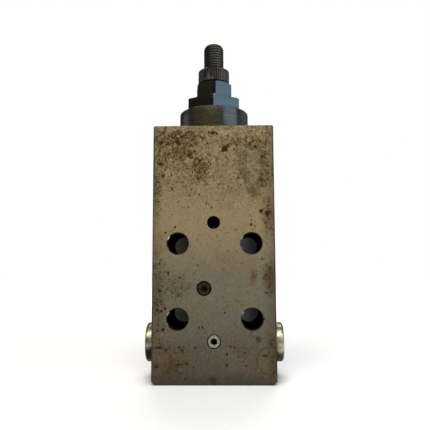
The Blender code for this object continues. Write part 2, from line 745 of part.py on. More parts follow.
def serrated_seat():
    """The straight-knurled ring that a hand knob fits on: a star-shaped bar with its top edge chamfered."""
    bm = bmesh.new()
    crest = SERRATION_DIAMETER / 2
    points = []
    for step in range(2 * SERRATION_RIBS):
        radius = crest if step % 2 == 0 else crest - SERRATION_DEPTH
        angle = math.pi * step / SERRATION_RIBS
        points.append(bm.verts.new((radius * math.cos(angle), radius * math.sin(angle), SERRATION_BOTTOM)))
    end = bm.faces.new(points)
    grown = bmesh.ops.extrude_face_region(bm, geom=[end])
    top_corners = [part for part in grown["geom"] if isinstance(part, bmesh.types.BMVert)]
    bmesh.ops.translate(bm, verts=top_corners, vec=(0, 0, SERRATION_LENGTH))
    bmesh.ops.recalc_face_normals(bm, faces=bm.faces)
    star = place("serration_bar", bm, None, (0, 0, 0), "up")
    wide = crest + CUT_OVERRUN
    blank = turned(
        "serration_blank",
        [
            (0, SERRATION_BOTTOM - CUT_OVERRUN),
            (wide, SERRATION_BOTTOM - CUT_OVERRUN),
            (wide, SERRATION_TOP - SERRATION_CHAMFER - CUT_OVERRUN),
            (crest - SERRATION_CHAMFER - CUT_OVERRUN, SERRATION_TOP + CUT_OVERRUN),
            (0, SERRATION_TOP + CUT_OVERRUN),
        ],
        segments=FINE,
    )
    combine(star, blank, "INTERSECT")
    return star


def adjusting_spindle():
    clip_groove = SPINDLE_RADIUS - CIRCLIP_GROOVE_DEPTH
    clip_bottom = CIRCLIP_TOP - CIRCLIP_THICKNESS - SEAT_GAP
    clip_top = CIRCLIP_TOP + SEAT_GAP
    groove_depth, groove_width = groove_for(SPINDLE_RING_WIRE)
    ring_bottom = STOP_FACE + SPINDLE_RING_ABOVE_STOP
    stud = STUD_DIAMETER / 2
    spindle = turned(
        "adjusting_spindle",
        [
            (0, FOOT),
            (SPINDLE_RADIUS - SPINDLE_CHAMFER, FOOT),
            (SPINDLE_RADIUS, FOOT + SPINDLE_CHAMFER),
            (SPINDLE_RADIUS, clip_bottom),
            (clip_groove, clip_bottom),
            (clip_groove, clip_top),
            (SPINDLE_RADIUS, clip_top),
            (SPINDLE_RADIUS, ring_bottom),
            (SPINDLE_RADIUS - groove_depth, ring_bottom),
            (SPINDLE_RADIUS - groove_depth, ring_bottom + groove_width),
            (SPINDLE_RADIUS, ring_bottom + groove_width),
            (SPINDLE_RADIUS, SERRATION_TOP - STUD_ROOT_INSET),
            (stud, SERRATION_TOP - STUD_ROOT_INSET),
            (stud, STUD_TOP - STUD_CHAMFER),
            (stud - STUD_CHAMFER, STUD_TOP),
            (0, STUD_TOP),
        ],
        PHOSPHATE_STEEL,
    )
    combine(spindle, serrated_seat(), "UNION")
    mean = SPINDLE_RADIUS - groove_depth + RING_GAP / 2 + SPINDLE_RING_WIRE / 2
    rubber_ring("spindle_ring", mean, SPINDLE_RING_WIRE, ring_bottom + groove_width / 2)


def spindle_circlip():
    inner = SPINDLE_RADIUS - CIRCLIP_GROOVE_DEPTH + SEAT_GAP
    outer = inner + CIRCLIP_WIDTH
    bottom = CIRCLIP_TOP - CIRCLIP_THICKNESS
    clip = turned(
        "spindle_circlip",
        [(inner, bottom), (outer, bottom), (outer, CIRCLIP_TOP), (inner, CIRCLIP_TOP)],
        SPRING_STEEL,
        segments=COARSE,
    )
    bm = bmesh.new()
    bmesh.ops.create_cube(bm, size=1)
    bmesh.ops.scale(bm, verts=bm.verts, vec=(CIRCLIP_OPENING, 2 * outer, CIRCLIP_THICKNESS + 2 * CUT_OVERRUN))
    bmesh.ops.translate(bm, verts=bm.verts, vec=(0, outer, (bottom + CIRCLIP_TOP) / 2))
    combine(clip, place("circlip_opening_cutter", bm, None, (0, 0, 0), "up"), "DIFFERENCE")


def spring_plate():
    rim = HOUSING_SPRING_BORE / 2 - PLATE_RIM_INSET
    bottom = PLATE_TOP - PLATE_THICKNESS
    turned(
        "spring_plate",
        [
            (0, bottom - SPRING_GUIDE_LENGTH),
            (SPRING_GUIDE_RADIUS, bottom - SPRING_GUIDE_LENGTH),
            (SPRING_GUIDE_RADIUS, bottom),
            (rim, bottom),
            (rim, PLATE_TOP),
            (0, PLATE_TOP),
        ],
        SPRING_STEEL,
        segments=COARSE,
    )
    return bottom


def relief_seat():
    hole = SEAT_HOLE_DIAMETER / 2
    groove_depth, groove_width = groove_for(SEAT_RING_WIRE)
    groove = SEAT_RADIUS - groove_depth
    turned(
        "relief_seat",
        [
            (hole, SEAT_GAP),
            (SEAT_RADIUS, SEAT_GAP),
            (SEAT_RADIUS, SEAT_GROOVE_HEIGHT),
            (groove, SEAT_GROOVE_HEIGHT),
            (groove, SEAT_GROOVE_HEIGHT + groove_width),
            (SEAT_RADIUS, SEAT_GROOVE_HEIGHT + groove_width),
            (SEAT_RADIUS, SEAT_THICKNESS),
            (hole + SEAT_CONE_DEPTH, SEAT_THICKNESS),
            (hole, SEAT_THICKNESS - SEAT_CONE_DEPTH),
        ],
        SPOOL_STEEL,
        (0, 0, SEAT_FLOOR_HEIGHT),
        segments=COARSE,
    )
    mean = groove + RING_GAP / 2 + SEAT_RING_WIRE / 2
    middle = SEAT_FLOOR_HEIGHT + SEAT_GROOVE_HEIGHT + groove_width / 2
    rubber_ring("seat_ring", mean, SEAT_RING_WIRE, middle)


def relief_poppet():
    """A 45 degree poppet. The seat gap is measured square to the cone, so it is longer along the axis."""
    tip = POPPET_TIP_DIAMETER / 2
    stem = POPPET_STEM_DIAMETER / 2
    hole = SEAT_HOLE_DIAMETER / 2
    cone_start = SEAT_TOP - SEAT_CONE_DEPTH + SEAT_GAP * math.sqrt(2)
    collar_bottom = SEAT_TOP + POPPET_COLLAR_ABOVE_SEAT
    collar_top = collar_bottom + POPPET_COLLAR_THICKNESS
    rim = SPRING_CHAMBER_DIAMETER / 2 - POPPET_RIM_INSET
    turned(
        "relief_poppet",
        [
            (0, cone_start + tip - hole),
            (tip, cone_start + tip - hole),
            (stem, cone_start + stem - hole),
            (stem, collar_bottom),
            (rim, collar_bottom),
            (rim, collar_top),
            (SPRING_GUIDE_RADIUS, collar_top),
            (SPRING_GUIDE_RADIUS, collar_top + SPRING_GUIDE_LENGTH),
            (0, collar_top + SPRING_GUIDE_LENGTH),
        ],
        SPOOL_STEEL,
        segments=COARSE,
    )
    return collar_top


def relief_group():
    relief_seat()
    spring_bottom = relief_poppet() + SEAT_GAP
    spring_top = spring_plate() - SEAT_GAP
    spring(
        "relief_spring",
        RELIEF_SPRING_DIAMETER,
        RELIEF_SPRING_WIRE,
        RELIEF_SPRING_TURNS,
        spring_top - spring_bottom,
        (0, 0, spring_bottom),
    )


clear_scene()
BODY_STEEL = finish_of("weathered_steel", (0.20, 0.16, 0.10), 0.55, 0.6)
DARK_TURNED = finish_of("dark_turned_steel", (0.045, 0.045, 0.035), 0.35, 0.8)
BLACK_STEEL = finish_of("blackened_steel", (0.03, 0.04, 0.05), 0.3, 0.8)
PHOSPHATE_STEEL = finish_of("phosphated_steel", (0.05, 0.045, 0.04), 0.5, 0.7)
PLUG_STEEL = finish_of("plug_steel", (0.35, 0.34, 0.31), 0.35, 0.9)
ZINC = finish_of("yellow_zinc", (0.42, 0.34, 0.14), 0.35, 0.9)
SPOOL_STEEL = finish_of("ground_steel", (0.55, 0.55, 0.56), 0.2, 1.0)
SPRING_STEEL = finish_of("spring_steel", (0.25, 0.25, 0.26), 0.35, 1.0)
RUBBER = finish_of("black_rubber", (0.015, 0.015, 0.015), 0.6, 0.0)

valve_body()
front_plugs()
port_rings()
spool_group()
relief_group()
spacer_collar()
cartridge_housing()
adjusting_spindle()
spindle_circlip()
lock_nut()
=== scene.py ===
"""Hydraulic control valve: the looks of every piece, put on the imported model. Metres, +Z up."""

import math
import random

import bmesh
import bpy
from mathutils import Matrix, Vector


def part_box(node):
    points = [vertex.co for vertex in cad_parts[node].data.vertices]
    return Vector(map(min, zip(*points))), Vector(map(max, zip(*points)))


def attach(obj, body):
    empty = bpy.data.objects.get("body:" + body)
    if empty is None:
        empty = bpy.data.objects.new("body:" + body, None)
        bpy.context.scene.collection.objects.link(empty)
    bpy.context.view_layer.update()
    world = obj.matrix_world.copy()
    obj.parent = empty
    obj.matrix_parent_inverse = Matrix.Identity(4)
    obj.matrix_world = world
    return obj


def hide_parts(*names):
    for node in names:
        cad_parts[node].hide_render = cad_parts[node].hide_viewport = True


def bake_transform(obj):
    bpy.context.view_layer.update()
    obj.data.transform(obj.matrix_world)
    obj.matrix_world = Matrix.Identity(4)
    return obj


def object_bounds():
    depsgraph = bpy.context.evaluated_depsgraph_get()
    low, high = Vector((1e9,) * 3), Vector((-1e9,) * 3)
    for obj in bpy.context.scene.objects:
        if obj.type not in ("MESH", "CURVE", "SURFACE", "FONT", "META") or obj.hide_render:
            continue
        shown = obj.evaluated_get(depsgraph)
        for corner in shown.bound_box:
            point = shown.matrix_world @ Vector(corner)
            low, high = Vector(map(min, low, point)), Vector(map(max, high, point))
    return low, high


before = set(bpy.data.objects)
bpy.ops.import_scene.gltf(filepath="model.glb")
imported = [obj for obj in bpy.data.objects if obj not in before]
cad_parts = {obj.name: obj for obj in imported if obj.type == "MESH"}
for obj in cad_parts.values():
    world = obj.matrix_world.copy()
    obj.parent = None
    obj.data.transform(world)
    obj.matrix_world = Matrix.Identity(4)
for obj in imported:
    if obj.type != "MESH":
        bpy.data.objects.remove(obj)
cad_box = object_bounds()

# Studio: a pale floor under a pale, even background, seen from the photograph's viewpoint.
# The lens and the viewpoint were worked out from the edges and holes of the block.
MM = 0.001
PICTURE_WIDTH = 430
FOCAL_PIXELS = 480.325
CAMERA_PLACE = Vector((7.256, -337.419, 73.692)) * MM
CAMERA_PITCH = 0.10995
CAMERA_YAW = -0.02012
CAMERA_ROLL = -0.00385

camera_data = bpy.data.cameras.new("photo_camera")
camera_data.sensor_width = 36.0
camera_data.lens = camera_data.sensor_width * FOCAL_PIXELS / PICTURE_WIDTH
camera_data.clip_start = 10 * MM
camera = bpy.data.objects.new("photo_camera", camera_data)
camera.matrix_world = (
    Matrix.Translation(CAMERA_PLACE)
    @ Matrix.Rotation(-CAMERA_YAW, 4, "Z")
    @ Matrix.Rotation(math.radians(90) + CAMERA_PITCH, 4, "X")
    @ Matrix.Rotation(CAMERA_ROLL, 4, "Z")
)
bpy.context.scene.collection.objects.link(camera)
bpy.context.scene.camera = camera
bpy.context.scene.view_settings.view_transform = "Standard"


class Shade:
    """A number or a colour that varies over a surface: one output of a finish's nodes."""

    def __init__(self, finish, socket):
        self.finish = finish
        self.socket = socket

    def __add__(self, other):
        return self.finish.maths("ADD", self, other)

    __radd__ = __add__

    def __sub__(self, other):
        return self.finish.maths("SUBTRACT", self, other)

    def __rsub__(self, other):
        return self.finish.maths("SUBTRACT", other, self)

    def __mul__(self, other):
        return self.finish.maths("MULTIPLY", self, other)

    def __truediv__(self, other):
        return self.finish.maths("DIVIDE", self, other)

    def __pow__(self, power):
        return self.finish.maths("POWER", self, power)

    def __abs__(self):
        return self.finish.maths("ABSOLUTE", self)

    def fade(self, start, end):
        """0 up to start, 1 from end on, and a soft step between them."""
        step = self.finish.node(
            "MapRange",
            {"interpolation_type": "SMOOTHSTEP"},
            {"Value": self, "From Min": min(start, end), "From Max": max(start, end)},
        )
        return step if start < end else 1 - step


def most(*masks):
    """The largest of several masks at each point."""
    largest, *others = masks
    for mask in others:
        largest = largest.finish.maths("MAXIMUM", largest, mask)
    return largest


def diagonal(across, up):
    """How far a point is from where both of these are 0."""
    return (across * across + up * up) ** 0.5


class Finish:
    """A finish for one kind of piece, made of nodes. Places and sizes in it are the valve's own."""

    def __init__(self, name, metallic=0.0, roughness=0.5, specular=0.5):
        self.material = bpy.data.materials.new(name)
        self.material.use_nodes = True
        self.tree = self.material.node_tree
        self.shader = self.tree.nodes["Principled BSDF"]
        self.feed("Metallic", metallic)
        self.feed("Roughness", roughness)
        self.feed("Specular IOR Level", specular)
        self.place = self.node("TexCoord", gives="Object")
        split = self.node("SeparateXYZ", takes={"Vector": self.place})
        self.x, self.y, self.z = (Shade(self, out) for out in split.socket.node.outputs)

    def node(self, kind, settings=None, takes=None, gives=0):
        """Adds a node: its settings come first, then the values or links that its sockets take."""
        made = self.tree.nodes.new("ShaderNode" + kind)
        for name, value in (settings or {}).items():
            setattr(made, name, value)
        for name, value in (takes or {}).items():
            self.feed(made.inputs[name], value)
        return Shade(self, made.outputs[gives])

    def feed(self, socket, value):
        """Links or sets a socket. A name alone is a socket of the finish's own shader."""
        if isinstance(socket, str):
            socket = self.shader.inputs[socket]
        if isinstance(value, Shade):
            self.tree.links.new(value.socket, socket)
        else:
            socket.default_value = value

    def maths(self, operation, *parts):
        return self.node("Math", {"operation": operation}, dict(enumerate(parts)))

    def grain(self, size, detail=3, roughness=0.5, stretch=(1, 1, 1), shift=0.0):
        """Soft noise from 0 to 1 with blotches of about this size, drawn out by stretch."""
        scaled = self.node(
            "Mapping",
            takes={
                "Vector": self.place,
                "Location": (shift, 2 * shift, 3 * shift),
                "Scale": tuple(1 / (size * factor) for factor in stretch),
            },
        )
        return self.node(
            "TexNoise",
            takes={"Vector": scaled, "Scale": 1.0, "Detail": detail, "Roughness": roughness},
        )

    def blend(self, share, first, second):
        """The first colour where share is 0, and the second where it is 1."""
        return self.node(
            "Mix",
            {"data_type": "RGBA", "clamp_factor": True},
            {0: share, 6: first, 7: second},
            gives=2,
        )

    def colour(self, value):
        """Sets the ground colour, which coats go over."""
        self.tone = value
        self.feed("Base Color", value)

    def coat(self, share, colour):
        """Lays another colour over those so far: it hides them where share is 1."""
        self.colour(self.blend(share, self.tone, colour))

    def rough(self, value):
        self.feed("Roughness", value)

    def glow(self, value):
        self.feed("Emission Color", value)
        self.feed("Emission Strength", 1.0)

    def relief(self, height, depth):
        """Bump: height runs from 0 to 1, and 1 stands this far above 0."""
        bump = self.node("Bump", takes={"Height": height, "Distance": depth, "Strength": 1.0})
        self.feed("Normal", bump)


def paint(red, green, blue):
    """A colour as it looks on a screen, from 0 to 255, as the shader's own linear values."""
    linear = []
    for part in (red, green, blue):
        share = part / 255
        linear.append(share / 12.92 if share <= 0.04045 else ((share + 0.055) / 1.055) ** 2.4)
    return (*linear, 1.0)


FLOOR_SIZE = 6.0
FLOOR_COLOUR = paint(250, 250, 249)
GLOW_START = 0.1
GLOW_END = 0.9
BLACK = paint(0, 0, 0)


def primitive(shape, name, **settings):
    """Adds one of Blender's plain shapes, selected alone, with its place and turn in its mesh."""
    bpy.ops.object.select_all(action="DESELECT")
    getattr(bpy.ops.mesh, f"primitive_{shape}_add")(**settings)
    piece = bpy.context.object
    piece.name = name
    bpy.ops.object.transform_apply(location=True, rotation=True, scale=True)
    return piece


floor = primitive("plane", "studio_floor", size=FLOOR_SIZE, location=(0, 0, cad_box[0][2] - 0.02 * MM))
floor_finish = Finish("studio_floor_finish", roughness=0.9)
floor_finish.colour(FLOOR_COLOUR)
far_away = diagonal(floor_finish.x, floor_finish.y).fade(GLOW_START, GLOW_END)
seen = floor_finish.node("LightPath", gives="Is Camera Ray")
floor_finish.glow(floor_finish.blend(far_away * seen, BLACK, FLOOR_COLOUR))
floor.data.materials.append(floor_finish.material)

BACKGROUND = (1.0, 1.0, 1.0, 1.0)
ROOM_LIGHT = (0.055, 0.058, 0.06, 1.0)
world = bpy.data.worlds.new("studio")
world.use_nodes = True
bpy.context.scene.world = world
world_nodes = world.node_tree.nodes
seen_background = world_nodes["Background"]
seen_background.inputs["Color"].default_value = BACKGROUND
room_light = world_nodes.new("ShaderNodeBackground")
room_light.inputs["Color"].default_value = ROOM_LIGHT
choose = world_nodes.new("ShaderNodeMixShader")
ray = world_nodes.new("ShaderNodeLightPath")
world.node_tree.links.new(ray.outputs["Is Camera Ray"], choose.inputs["Fac"])
world.node_tree.links.new(room_light.outputs["Background"], choose.inputs[1])
world.node_tree.links.new(seen_background.outputs["Background"], choose.inputs[2])
world.node_tree.links.new(choose.outputs["Shader"], world_nodes["World Output"].inputs["Surface"])


# Painted shade seen through the bolt holes: a dark card right behind the block glows dark grey, so that
# the holes read as holes against the pale room.
# It is part of the studio, smaller than the block, and clear when it is seen from behind.
HOLE_SHADE_LEFT = (paint(42, 41, 35), paint(27, 24, 20))
HOLE_SHADE_RIGHT = (paint(58, 58, 61), paint(27, 27, 27))
HOLE_SHADE_CARD_SIZE = (0.066, 0.078)
HOLE_SHADE_CARD_PLACE = (0.0006, 0.0256, 0.0654)
UPRIGHT = (math.radians(90), 0, 0)
bpy.ops.mesh.primitive_plane_add(size=1, location=HOLE_SHADE_CARD_PLACE, rotation=UPRIGHT)
hole_shade_card = bpy.context.object
hole_shade_card.name = "painted_hole_shade_card"
hole_shade_card.scale = (*HOLE_SHADE_CARD_SIZE, 1)
bpy.ops.object.transform_apply(location=True, rotation=True, scale=True)
hole_shade = Finish("painted_hole_shade_finish", roughness=1.0)
hole_shade.colour(BLACK)
# Painted shade: the glow is lighter on the left of each pair of holes and darker on the right.
left_hole_shade = hole_shade.blend(hole_shade.x.fade(-30 * MM, -18 * MM), *HOLE_SHADE_LEFT)
right_hole_shade = hole_shade.blend(hole_shade.x.fade(18 * MM, 30 * MM), *HOLE_SHADE_RIGHT)
hole_shade.glow(hole_shade.blend(hole_shade.x.fade(-2 * MM, 2 * MM), left_hole_shade, right_hole_shade))
one_sided = hole_shade.node(
    "MixShader",
    takes={
        0: hole_shade.node("NewGeometry", gives="Backfacing"),
        1: Shade(hole_shade, hole_shade.shader.outputs["BSDF"]),
        2: hole_shade.node("BsdfTransparent"),
    },
)
hole_shade.feed(hole_shade.tree.nodes["Material Output"].inputs["Surface"], one_sided)
hole_shade_card.data.materials.append(hole_shade.material)
hole_shade_card.visible_diffuse = hole_shade_card.visible_glossy = hole_shade_card.visible_shadow = False


def softbox(name, place, target, size, watts, colour):
    """A rectangular soft light that faces a point on the valve."""
    data = bpy.data.lights.new(name, "AREA")
    data.shape = "RECTANGLE"
    data.size, data.size_y = size
    data.energy = watts
    data.color = colour
    light = bpy.data.objects.new(name, data)
    light.location = place
    light.rotation_euler = (Vector(target) - Vector(place)).to_track_quat("-Z", "Y").to_euler()
    bpy.context.scene.collection.objects.link(light)


softbox("overhead_light", (-0.06, -0.42, 0.78), (0, 0, 0.09), (0.55, 0.45), 6.5, (1.0, 0.97, 0.92))
softbox("right_window", (0.42, -0.26, 0.33), (0, 0, 0.19), (0.42, 0.34), 1.15, (0.76, 0.9, 1.0))
softbox("back_light", (0.02, 0.48, 0.95), (0, 0, 0.1), (0.5, 0.35), 5.0, (1.0, 1.0, 1.0))
softbox("left_fill", (-0.6, 0.15, 0.25), (0, 0, 0.1), (0.3, 0.3), 0.22, (1.0, 0.98, 0.94))


def alone(piece):
    """Makes this piece the only selected one."""
    bpy.ops.object.select_all(action="DESELECT")
    piece.select_set(True)
    bpy.context.view_layer.objects.active = piece


# Valve block: square steel bar, milled on all sides and cross-drilled, left bare and now rusting.
# Its foot corners are cut off, and all other edges are broken with a file or a small chamfer cutter.
EDGE_BREAK = 0.6 * MM
FOOT_CUT = 2.2 * MM
SHOULDER_CUT = 0.8 * MM
CLEAR = 2 * MM
CLOSE = 0.1 * MM
ROUND = 96

block_low, block_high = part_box("valve_body")
block_front, block_back = block_low.y, block_high.y
block_side = block_high.x
block_top = block_high.z

block_middle = (block_low + block_high) / 2
block = primitive("cube", "block", size=1, location=block_middle, scale=block_high - block_low)


def pick_edges(piece, wanted):
    """Selects, in edit mode, the edges whose two ends pass the test, and nothing else."""
    bpy.ops.mesh.select_mode(type="EDGE")
    bpy.ops.mesh.select_all(action="DESELECT")
    shape = bmesh.from_edit_mesh(piece.data)
    for edge in shape.edges:
        if wanted(edge.verts[0].co, edge.verts[1].co):
            edge.select_set(True)
    shape.select_flush_mode()
    bmesh.update_edit_mesh(piece.data)


def along_depth(first, second):
    return abs(first.x - second.x) < CLOSE and abs(first.z - second.z) < CLOSE


bpy.ops.object.mode_set(mode="EDIT")
pick_edges(block, lambda a, b: along_depth(a, b) and a.z < block_low.z + MM)
bpy.ops.mesh.bevel(offset=FOOT_CUT * math.sqrt(2), offset_type="WIDTH", segments=1)
pick_edges(block, lambda a, b: along_depth(a, b) and a.z > block_top - MM)
bpy.ops.mesh.bevel(offset=SHOULDER_CUT * math.sqrt(2), offset_type="WIDTH", segments=1)
pick_edges(block, lambda a, b: abs(a.y - b.y) < CLOSE)
bpy.ops.mesh.bevel(offset=EDGE_BREAK, offset_type="OFFSET", segments=1)
bpy.ops.object.mode_set(mode="OBJECT")


def work_over(piece, modifier, **settings):
    """Puts a modifier on a piece and applies it."""
    alone(piece)
    bpy.ops.object.modifier_add(type=modifier)
    step = piece.modifiers[-1]
    for name, value in settings.items():
        setattr(step, name, value)
    bpy.ops.object.modifier_apply(modifier=step.name)


def shape_with(piece, tool, operation):
    """Cuts, joins or trims a piece with a tool, which is then thrown away."""
    work_over(piece, "BOOLEAN", operation=operation, solver="EXACT", object=tool)
    bpy.data.objects.remove(tool, do_unlink=True)


def drill(piece, cutter):
    shape_with(piece, cutter, "DIFFERENCE")


DENTS = 34
DENT_SEED = 11
random.seed(DENT_SEED)
for number in range(DENTS):
    side = random.choice((-1, 1))
    reach = random.uniform(0.5, 1.3) * MM
    sunk = random.uniform(0.12, 0.35) * MM
    if number % 4 == 0:
        place = Vector((random.uniform(-0.95, 0.95) * block_side, block_front, block_top))
        out = Vector((0, -1, 1)).normalized()
    else:
        depth = random.choice((block_front, block_front, block_back))
        place = Vector((side * block_side, depth, random.uniform(0.03, 0.97) * block_top))
        out = Vector((side, math.copysign(1, depth), 0)).normalized()
    bpy.ops.mesh.primitive_ico_sphere_add(
        subdivisions=2,
        radius=reach,
        location=place - out * (EDGE_BREAK * math.sqrt(0.5) + sunk - reach),
        rotation=[random.uniform(0, 3) for axis in "xyz"],
        scale=(1, random.uniform(0.6, 1.0), random.uniform(0.7, 1.0)),
    )
    drill(block, bpy.context.object)


DOUBLES = 0.001 * MM


def open_up():
    """Goes into edit mode with the whole piece selected."""
    bpy.ops.object.mode_set(mode="EDIT")
    bpy.ops.mesh.select_all(action="SELECT")


def face_outwards():
    """Points every face outwards and leaves edit mode."""
    bpy.ops.mesh.select_all(action="SELECT")
    bpy.ops.mesh.normals_make_consistent(inside=False)
    bpy.ops.object.mode_set(mode="OBJECT")


def close_up(doubles=DOUBLES):
    """Merges doubles, fills open ends, points every face outwards, and leaves edit mode."""
    bpy.ops.mesh.select_all(action="SELECT")
    bpy.ops.mesh.remove_doubles(threshold=doubles)
    bpy.ops.mesh.fill_holes(sides=0)
    face_outwards()


def extrude_through(outline):
    """In edit mode, extrudes the selected circle through the outline's (radius, height) points."""
    radius, height = outline[0]
    for next_radius, next_height in outline[1:]:
        bpy.ops.mesh.extrude_region_move(TRANSFORM_OT_translate={"value": (0, 0, next_height - height)})
        share = next_radius / radius
        bpy.ops.transform.resize(value=(share, share, 1), center_override=(0, 0, next_height))
        radius, height = next_radius, next_height


def lathe(name, outline, segments=ROUND, ring=False):
    """Turns a piece about Z. A ring closes on its first point, and any other piece gets flat ends."""
    radius, height = outline[0]
    piece = primitive("circle", name, vertices=segments, radius=radius, location=(0, 0, height))
    open_up()
    extrude_through(outline + outline[:1] * ring)
    close_up()
    return piece


TO_FRONT = Matrix.Rotation(math.radians(90), 4, "X")
TO_BACK = Matrix.Rotation(math.radians(-90), 4, "X")
TO_RIGHT = Matrix.Rotation(math.radians(90), 4, "Y")
TO_LEFT = Matrix.Rotation(math.radians(-90), 4, "Y")
UPWARDS = Matrix.Identity(4)


def lay(piece, place, turn):
    """Tips a piece made on the Z axis over and moves it to its place, all in its mesh."""
    piece.matrix_world = Matrix.Translation(place) @ turn
    alone(piece)
    bpy.ops.object.transform_apply(location=True, rotation=True, scale=True)
    return piece


def bore(outline, place=(0, 0, 0), turn=UPWARDS, ring=False):
    """Drills the block with a tool that is turned to this outline."""
    drill(block, lay(lathe("drill", outline, ring=ring), place, turn))


def mouth(radius, edge, face=0.0):
    """The end of a bore's outline: its broken edge at the face, and the tool's way out."""
    return [(radius, face - edge), (radius + edge, face), (radius + edge, face + CLEAR)]


def both_ways(half):
    """A bore's outline that runs out on either side alike."""
    return [(radius, -along) for radius, along in reversed(half)] + half


BOLT_HOLE = 6.75 * MM
BOLT_HOLE_CHAMFER = 0.65 * MM
BOLT_CENTRE = Vector((0.6, 0, 65.4)) * MM
BOLT_HALF_ACROSS = 24.0 * MM
BOLT_HALF_UP = 24.25 * MM
bolt_places = [
    BOLT_CENTRE + Vector((across * BOLT_HALF_ACROSS, 0, up * BOLT_HALF_UP))
    for across in (-1, 1)
    for up in (-1, 1)
]
for place in bolt_places:
    bore(both_ways(mouth(BOLT_HOLE, BOLT_HOLE_CHAMFER, block_back)), place, TO_FRONT)

GAUGE_PORT = 4.15 * MM
GAUGE_HEIGHT = 103.3 * MM
GAUGE_EDGE = 0.15 * MM
gauge_place = (0, block_front, GAUGE_HEIGHT)
bore([(GAUGE_PORT, block_front), *mouth(GAUGE_PORT, GAUGE_EDGE)], gauge_place, TO_FRONT)

MIDDLE_HOLE = 4.85 * MM
MIDDLE_FLOOR = 10.3 * MM
MIDDLE_DRILLING = 3.0 * MM
MIDDLE_PLACE = Vector((-6.3 * MM, block_front, 60.7 * MM))
middle_outline = [
    (MIDDLE_DRILLING, block_front), (MIDDLE_DRILLING, -MIDDLE_FLOOR), (MIDDLE_HOLE, -MIDDLE_FLOOR),
    (MIDDLE_HOLE, CLEAR),
]
bore(middle_outline, MIDDLE_PLACE, TO_FRONT)

LOWER_HOLE = 4.2 * MM
LOWER_MOUTH = 0.4 * MM
LOWER_FLOOR = 8.5 * MM
LOWER_DRILLING = 2.5 * MM
LOWER_PLACE = Vector((0, block_front, 27.0 * MM))
lower_outline = [
    (LOWER_DRILLING, block_front), (LOWER_DRILLING, -LOWER_FLOOR), (LOWER_HOLE, -LOWER_FLOOR),
    *mouth(LOWER_HOLE, LOWER_MOUTH),
]
bore(lower_outline, LOWER_PLACE, TO_FRONT)

PORT = 6.0 * MM
PORT_EDGE = 0.3 * MM
PORT_RING_MEAN = 9.4 * MM
GROOVE_HALF = 1.5 * MM
GROOVE_DEPTH = 2.5 * MM
PORT_HEIGHTS = {"tank": 85.0 * MM, "pressure": 52.0 * MM}
groove_outline = [
    (PORT_RING_MEAN - GROOVE_HALF, -GROOVE_DEPTH), (PORT_RING_MEAN + GROOVE_HALF, -GROOVE_DEPTH),
    (PORT_RING_MEAN + GROOVE_HALF, CLEAR), (PORT_RING_MEAN - GROOVE_HALF, CLEAR),
]
for port_height in PORT_HEIGHTS.values():
    port_place = (0, block_back, port_height)
    bore([(PORT, -block_back), *mouth(PORT, PORT_EDGE)], port_place, TO_BACK)
    bore(groove_outline, port_place, TO_BACK, ring=True)

CARTRIDGE_BORE = 13.8 * MM
CARTRIDGE_MOUTH = 0.5 * MM
CARTRIDGE_FLOOR = 137.0 * MM
CHAMBER = 9.8 * MM
SEAT_TOP = 78.0 * MM
SEAT_POCKET = 8.3 * MM
SEAT_FLOOR = 70.0 * MM
FEED_DRILLING = 4.5 * MM
SPOOL_HEIGHT = 23.4 * MM
relief_outline = [
    (FEED_DRILLING, SPOOL_HEIGHT), (FEED_DRILLING, SEAT_FLOOR), (SEAT_POCKET, SEAT_FLOOR),
    (SEAT_POCKET, SEAT_TOP), (CHAMBER, SEAT_TOP), (CHAMBER, CARTRIDGE_FLOOR),
    (CARTRIDGE_BORE, CARTRIDGE_FLOOR), *mouth(CARTRIDGE_BORE, CARTRIDGE_MOUTH, block_top),
]
bore(relief_outline)

SPOOL_BORE = 7.3 * MM
SPRING_ROOM = 8.5 * MM
SPRING_ROOM_FLOOR = 24.0 * MM
PLUG_BORE = 11.0 * MM
PLUG_BORE_FLOOR = 30.0 * MM
PLUG_POCKET = 12.6 * MM
PLUG_POCKET_DEPTH = 2.0 * MM
spool_half = [
    (SPOOL_BORE, SPRING_ROOM_FLOOR), (SPRING_ROOM, SPRING_ROOM_FLOOR), (SPRING_ROOM, PLUG_BORE_FLOOR),
    (PLUG_BORE, PLUG_BORE_FLOOR), (PLUG_BORE, block_side - PLUG_POCKET_DEPTH),
    (PLUG_POCKET, block_side - PLUG_POCKET_DEPTH), (PLUG_POCKET, block_side + CLEAR),
]
bore(both_ways(spool_half), (0, 0, SPOOL_HEIGHT), TO_RIGHT)

STEEL_TOP = paint(156, 138, 104)
STEEL_HIGH = paint(152, 134, 101)
STEEL_WAIST = paint(117, 111, 96)
STEEL_FOOT = paint(87, 80, 71)
STEEL_PALE = paint(196, 180, 140)
STEEL_WARM = paint(120, 96, 60)
STEEL_GREY = paint(112, 109, 94)
RUST_SPECK = paint(46, 32, 10)
RUST_OLIVE = paint(66, 49, 18)
RUST_BROWN = paint(78, 56, 22)
RUST_RED = paint(92, 56, 28)
OIL_STAIN = paint(74, 62, 40)
SHADE_BROWN = paint(56, 49, 38)
EDGE_DARK = paint(48, 46, 42)

steel = Finish("bare_block_steel", metallic=0.4, specular=0.05)
on_front = steel.y.fade(block_front + 0.9 * MM, block_front + 0.2 * MM)
near_top = steel.z.fade(104 * MM, 142 * MM)
